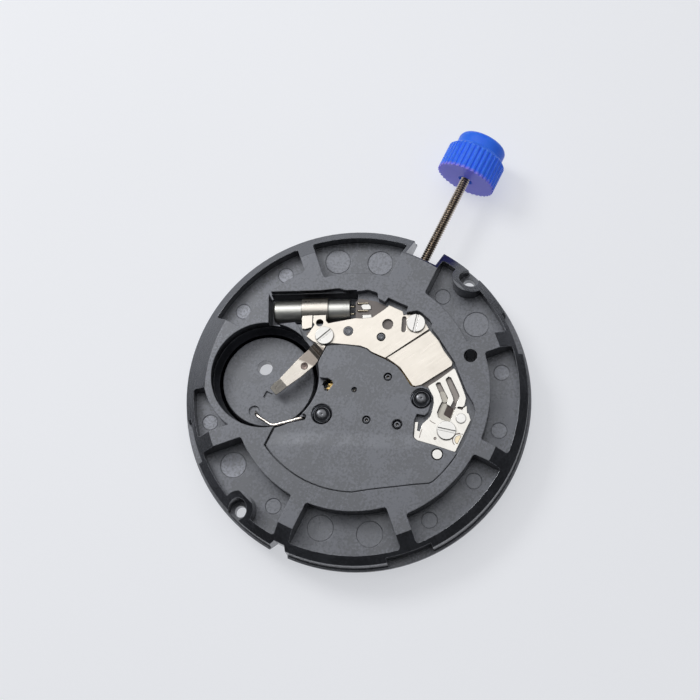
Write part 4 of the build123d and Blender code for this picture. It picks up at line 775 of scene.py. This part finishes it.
# Crystal
# The quartz tuning fork sits in a drawn can, bright and polished round its
# length, with a glass end and two leads soldered to the film.
can_turn = math.radians(-63.43)
can_start = Vector((3.68 * mm, 10.23 * mm, 2.2 * mm))
can_way = Vector((math.cos(can_turn), math.sin(can_turn), 0))
can_frame = Matrix.Translation(can_start) @ can_way.to_track_quat("Z", "Y").to_matrix().to_4x4()
band_starts = (6.42, 6.70)
band_bulge = [(0.97, 0.0), (1.012, 0.02), (1.02, 0.06), (1.012, 0.10), (0.97, 0.12)]
can_metal = plain_metal(
    "can_metal", (0.74, 0.74, 0.70), (0.86, 0.86, 0.82), (0.92, 0.92, 0.90), gloss=(0.36, 0.46), turn=2.0345,
    line_scale=16000.0, line_depth=0.003 * mm, edge_radius=0.03 * mm,
)
dress("crystal_can", can_metal)
for index, start in enumerate(band_starts):
    band_profile = [(radius, start + along) for radius, along in band_bulge]
    band = turned(f"can_band_{index}", band_profile, [can_frame], can_metal, segments=56, smooth_angle=40)
    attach(band, "movement")


def mottled_finish(name, deep, pale, mottle, gloss=None, **plain):
    """A smooth finish with a mottled colour, and a gloss that varies where its range is given."""
    material, tree, shader = new_finish(name, **plain)
    grain = place_group(tree, moulded_grain, {"Mottle": mottle})
    feed(tree, shader, Base_Color=mixed(tree, grain["Mottle"], deep, pale))
    if gloss:
        feed(tree, shader, Roughness=spread(tree, grain["Fine"], 0.3, 0.7, *gloss))
    return material


glass_finish = mottled_finish(
    "glass_end", (0.01, 0.02, 0.03), (0.03, 0.05, 0.07), mottle=1500.0, Coat_Weight=0.6, Coat_Roughness=0.08,
)
dress("crystal_base", glass_finish)
lead_metal = plain_metal(
    "lead_metal", (0.62, 0.55, 0.42), (0.78, 0.70, 0.56), (0.88, 0.84, 0.74), gloss=(0.2, 0.32),
)
dress("crystal_leads", lead_metal)

# Battery contact wire
# A spring wire in bright plated steel, rolled a little flat, that stands in the
# well's dimple and is hooked into a hole beside the bridge.
wire_half_width = 0.13
wire_half_height = 0.07
wire_sides = 12
wire_step = 0.12
upright_limit = 0.3
wire_path = [
    (-5.30, 7.72, 1.10), (-5.42, 7.55, 1.90), (-5.62, 7.28, 2.45), (-5.80, 6.80, 2.62), (-5.88, 6.15, 2.70),
    (-5.97, 5.62, 2.78), (-5.86, 5.20, 2.86), (-5.48, 4.68, 2.98), (-5.05, 4.12, 3.10), (-4.50, 3.45, 3.25),
    (-4.26, 3.13, 3.22), (-4.20, 3.05, 2.90), (-4.20, 3.05, 2.05),
]


def smooth_line(path, step):
    """Points about a step apart on a smooth curve through the path."""
    points = [Vector(point) for point in path]
    padded = [2 * points[0] - points[1]] + points + [2 * points[-1] - points[-2]]
    line = []
    for index in range(1, len(padded) - 2):
        before, start, end, after = padded[index - 1:index + 3]
        count = max(2, int((end - start).length / step))
        for part in range(count):
            share = part / count
            line.append(0.5 * (
                2 * start + (end - before) * share
                + (2 * before - 5 * start + 4 * end - after) * share ** 2
                + (3 * start - before - 3 * end + after) * share ** 3
            ))
    return line + [points[-1]]


wire_mesh = bpy.data.meshes.new("flat_contact_wire")
wire_shape = bmesh.new()
wire_line = smooth_line(wire_path, wire_step)
wire_turns = [2 * math.pi * side / wire_sides for side in range(wire_sides)]
wire_loops = []
side_way = Vector((1, 0, 0))
for index, point in enumerate(wire_line):
    along = (wire_line[min(index + 1, len(wire_line) - 1)] - wire_line[max(index - 1, 0)]).normalized()
    level_way = along.cross(Vector((0, 0, 1)))
    # Where the wire stands nearly upright, its flat side keeps the last direction
    if level_way.length > upright_limit:
        side_way = level_way.normalized()
    rise_way = side_way.cross(along).normalized()
    wire_loops.append([
        wire_shape.verts.new((
            point + side_way * math.cos(turn) * wire_half_width + rise_way * math.sin(turn) * wire_half_height
        ) * mm) for turn in wire_turns
    ])
for near, far in zip(wire_loops, wire_loops[1:]):
    for side in range(wire_sides):
        following = (side + 1) % wire_sides
        wire_shape.faces.new([near[side], near[following], far[following], far[side]])
wire_shape.faces.new(wire_loops[0][::-1])
wire_shape.faces.new(wire_loops[-1])
bmesh.ops.recalc_face_normals(wire_shape, faces=wire_shape.faces)
wire_shape.to_mesh(wire_mesh)
wire_shape.free()
wire_metal = plain_metal(
    "wire_metal", (0.70, 0.64, 0.58), (0.84, 0.79, 0.73), (0.92, 0.90, 0.86), gloss=(0.16, 0.28),
)
wire = link_piece(wire_mesh, "flat_contact_wire", wire_metal, smooth_angle=45)
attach(wire, "movement")
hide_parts("negative_contact_wire")

# Circuit film
# Brown polyimide film with its traces, glossy where it shows between the sheets.
# Pads of solder and bare film, a capsule and a chip show in the sheets' windows.
film_finish = mottled_finish(
    "film_brown", (0.15, 0.125, 0.115), (0.26, 0.225, 0.21), mottle=1200.0, gloss=(0.35, 0.5),
    Coat_Weight=0.5, Coat_Roughness=0.15,
)
dress("circuit_film", film_finish)
solder_metal = plain_metal(
    "solder_metal", (0.66, 0.65, 0.62), (0.82, 0.81, 0.78), (0.90, 0.90, 0.88), gloss=(0.22, 0.34), turn=0.3,
    line_scale=5000.0, line_depth=0.01 * mm, edge_radius=0.03 * mm,
)
pad_beige = mottled_finish("pad_beige", (0.80, 0.75, 0.65), (0.93, 0.89, 0.80), mottle=1500.0, Roughness=0.45)
pad_brown = mottled_finish("pad_brown", (0.40, 0.36, 0.33), (0.58, 0.53, 0.49), mottle=1500.0, Roughness=0.45)
chip_brown = mottled_finish(
    "window_chip", (0.045, 0.024, 0.018), (0.10, 0.060, 0.048), mottle=1200.0,
    Coat_Weight=0.3, Coat_Roughness=0.2,
)
solder_outlines = [
    [(6.30, 2.36), (6.72, 2.58), (7.10, 1.82), (6.80, 1.60)],
    [(7.12, 2.72), (7.32, 3.00), (7.50, 3.08), (7.72, 2.90), (7.90, 2.52), (7.80, 2.22), (7.52, 2.04),
     (7.34, 2.30)],
]
window_outline = [
    (1.00, -7.55), (1.40, -7.58), (2.35, -7.54), (2.45, -8.00), (2.38, -8.05), (1.50, -8.10), (1.38, -8.80),
    (2.30, -8.72), (2.32, -8.86), (1.15, -8.88), (1.00, -8.50),
]
slot_outlines = [
    [(3.00, -6.85), (3.15, -6.92), (3.40, -6.40), (3.70, -6.42), (3.88, -6.55), (3.35, -7.35), (3.20, -7.40)],
    [(2.85, -8.45), (3.25, -8.25), (4.35, -7.02), (4.60, -7.05), (4.70, -7.20), (3.70, -8.45), (3.48, -8.66),
     (2.85, -8.70)],
]
capsule_radius = 0.30
capsule_outline = (ring_outline(3.05, -7.25, capsule_radius, -45, 135, 14)
                   + ring_outline(2.72, -7.62, capsule_radius, 135, 315, 14))
chip_outline = [(1.45, -8.15), (2.35, -8.10), (2.30, -8.72), (1.40, -8.80)]
film_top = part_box("circuit_film")[1].z / mm
pad_floor = film_top - 0.01
pad_top = film_top + 0.03
component_top = film_top + 0.07
solder_top = film_top + 0.08
# Name, outlines, top, finish, bevel and slot of each piece on the film
film_table = [
    ("solder_pads", solder_outlines, solder_top, solder_metal, 0.05, "steel"),
    ("window_pads", [window_outline], pad_top, pad_beige, 0.02, "film_brown"),
    ("slot_pads", slot_outlines, pad_top, pad_brown, 0.02, "film_brown"),
    ("window_capsule", [capsule_outline], component_top, pad_beige, 0.04, "film_brown"),
    ("window_chip", [chip_outline], component_top, chip_brown, 0.03, "film_brown"),
]
for film_name, outlines, top, material, bevel, film_slot in film_table:
    film_piece = cut_sheet(film_name, outlines, pad_floor, top, material, bevel)
    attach(film_piece, "movement")
chip_plastic = black_moulding(
    "chip_plastic", (0.012, 0.012, 0.012), (0.02, 0.02, 0.02), gloss=(0.5, 0.6), grain_depth=0.006 * mm,
)
dress("control_chip", chip_plastic)

# Gear train and motion work
# Wheels and pinions are cut in brass and lightly gilt. The rotor is a dark
# sintered magnet on its own pinion, and the coil is enamelled copper wire.
wheel_brass = plain_metal(
    "wheel_brass", (0.62, 0.42, 0.16), (0.80, 0.58, 0.25), (0.92, 0.76, 0.42), gloss=(0.22, 0.34), turn=0.3,
    line_scale=12000.0,
)
for brass_node in (
    "fifth_wheel", "fourth_wheel", "third_wheel", "centre_wheel", "cannon_pinion", "minute_wheel",
    "hour_wheel", "setting_wheel",
):
    dress(brass_node, wheel_brass)
magnet_finish = plain_metal(
    "magnet_finish", (0.10, 0.10, 0.11), (0.18, 0.18, 0.19), (0.35, 0.35, 0.36), gloss=(0.4, 0.55), turn=0.3,
    line_scale=8000.0, line_depth=0.004 * mm, edge_radius=0.03 * mm,
)
dress("rotor", magnet_finish)
coil_copper = plain_metal(
    "coil_copper", (0.36, 0.12, 0.04), (0.60, 0.24, 0.09), (0.75, 0.38, 0.18), gloss=(0.25, 0.4),
    line_scale=20000.0, line_depth=0.01 * mm,
)
dress("motor_coil", coil_copper)

# Crown
# The setting knob is moulded in blue plastic that lets a little light in, with
# straight ribs for the fingers; a faint blue glow on it is painted light. Its inner face is pinker,
# and its hub is painted dark as shade in the recess round the stem.
crown_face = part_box("crown")[0].x
face_depth = 0.35 * mm
hub_radius = 0.75 * mm
crown_deep = (0.012, 0.14, 0.95)
crown_pale = (0.07, 0.26, 1.0)
crown_edge = (0.30, 0.46, 0.98)
face_pink = (0.52, 0.30, 0.85)
painted_hub_shade = (0.0, 0.0, 0.42)
# The emission is painted light, a faint blue glow
crown_plastic, tree, shader = new_finish(
    "crown_plastic", Subsurface_Weight=0.5, Subsurface_Scale=0.8 * mm, Subsurface_Radius=(0.35, 0.6, 1.0),
    Specular_IOR_Level=0.22, Emission_Color=(0.05, 0.16, 0.9, 1.0), Emission_Strength=0.2,
)
edge = place_group(tree, edge_wear_and_highlight, {"Radius": 0.07 * mm, "Breakup": 3000.0})
grain = place_group(tree, moulded_grain, {"Grain": 9000.0, "Mottle": 500.0})
crown_worn = mixed(tree, edge["Edge"], mixed(tree, grain["Mottle"], crown_deep, crown_pale), crown_edge)
# Depth behind the inner face, and distance from the hub's wall
crown_place = own_place(tree)
crown_along = add_node(tree, "ShaderNodeSeparateXYZ", {"Vector": crown_place}).outputs["X"]
behind_face = worked(tree, "SUBTRACT", crown_along, crown_face)
crown_across = vector_worked(tree, "SUBTRACT", crown_place, (0.0, 0.0, stem_level * mm))
from_axis = vector_worked(tree, "MULTIPLY", crown_across, (0.0, 1.0, 1.0))
from_hub = worked(tree, "SUBTRACT", vector_worked(tree, "LENGTH", from_axis), hub_radius)
face_mask = spread(tree, behind_face, 0.0, face_depth, 1.0, 0.0)
hub_wall = spread(tree, from_hub, -0.05 * mm, 0.02 * mm, 1.0, 0.0)
# Inside the hub's recess the colour is painted dark blue as shade
hub_shade_mask = worked(tree, "MULTIPLY", hub_wall, spread(tree, behind_face, 0.75 * mm, 0.8 * mm, 1.0, 0.0))
crown_faced = mixed(tree, worked(tree, "MULTIPLY", face_mask, 0.85), crown_worn, face_pink)
feed(
    tree, shader, Base_Color=mixed(tree, hub_shade_mask, crown_faced, painted_hub_shade),
    Roughness=spread(tree, grain["Mottle"], 0.3, 0.7, 0.30, 0.44),
    Normal=bumped(tree, grain["Height"], 0.006 * mm, 0.5, edge["Normal"]),
)
dress("crown", crown_plastic)
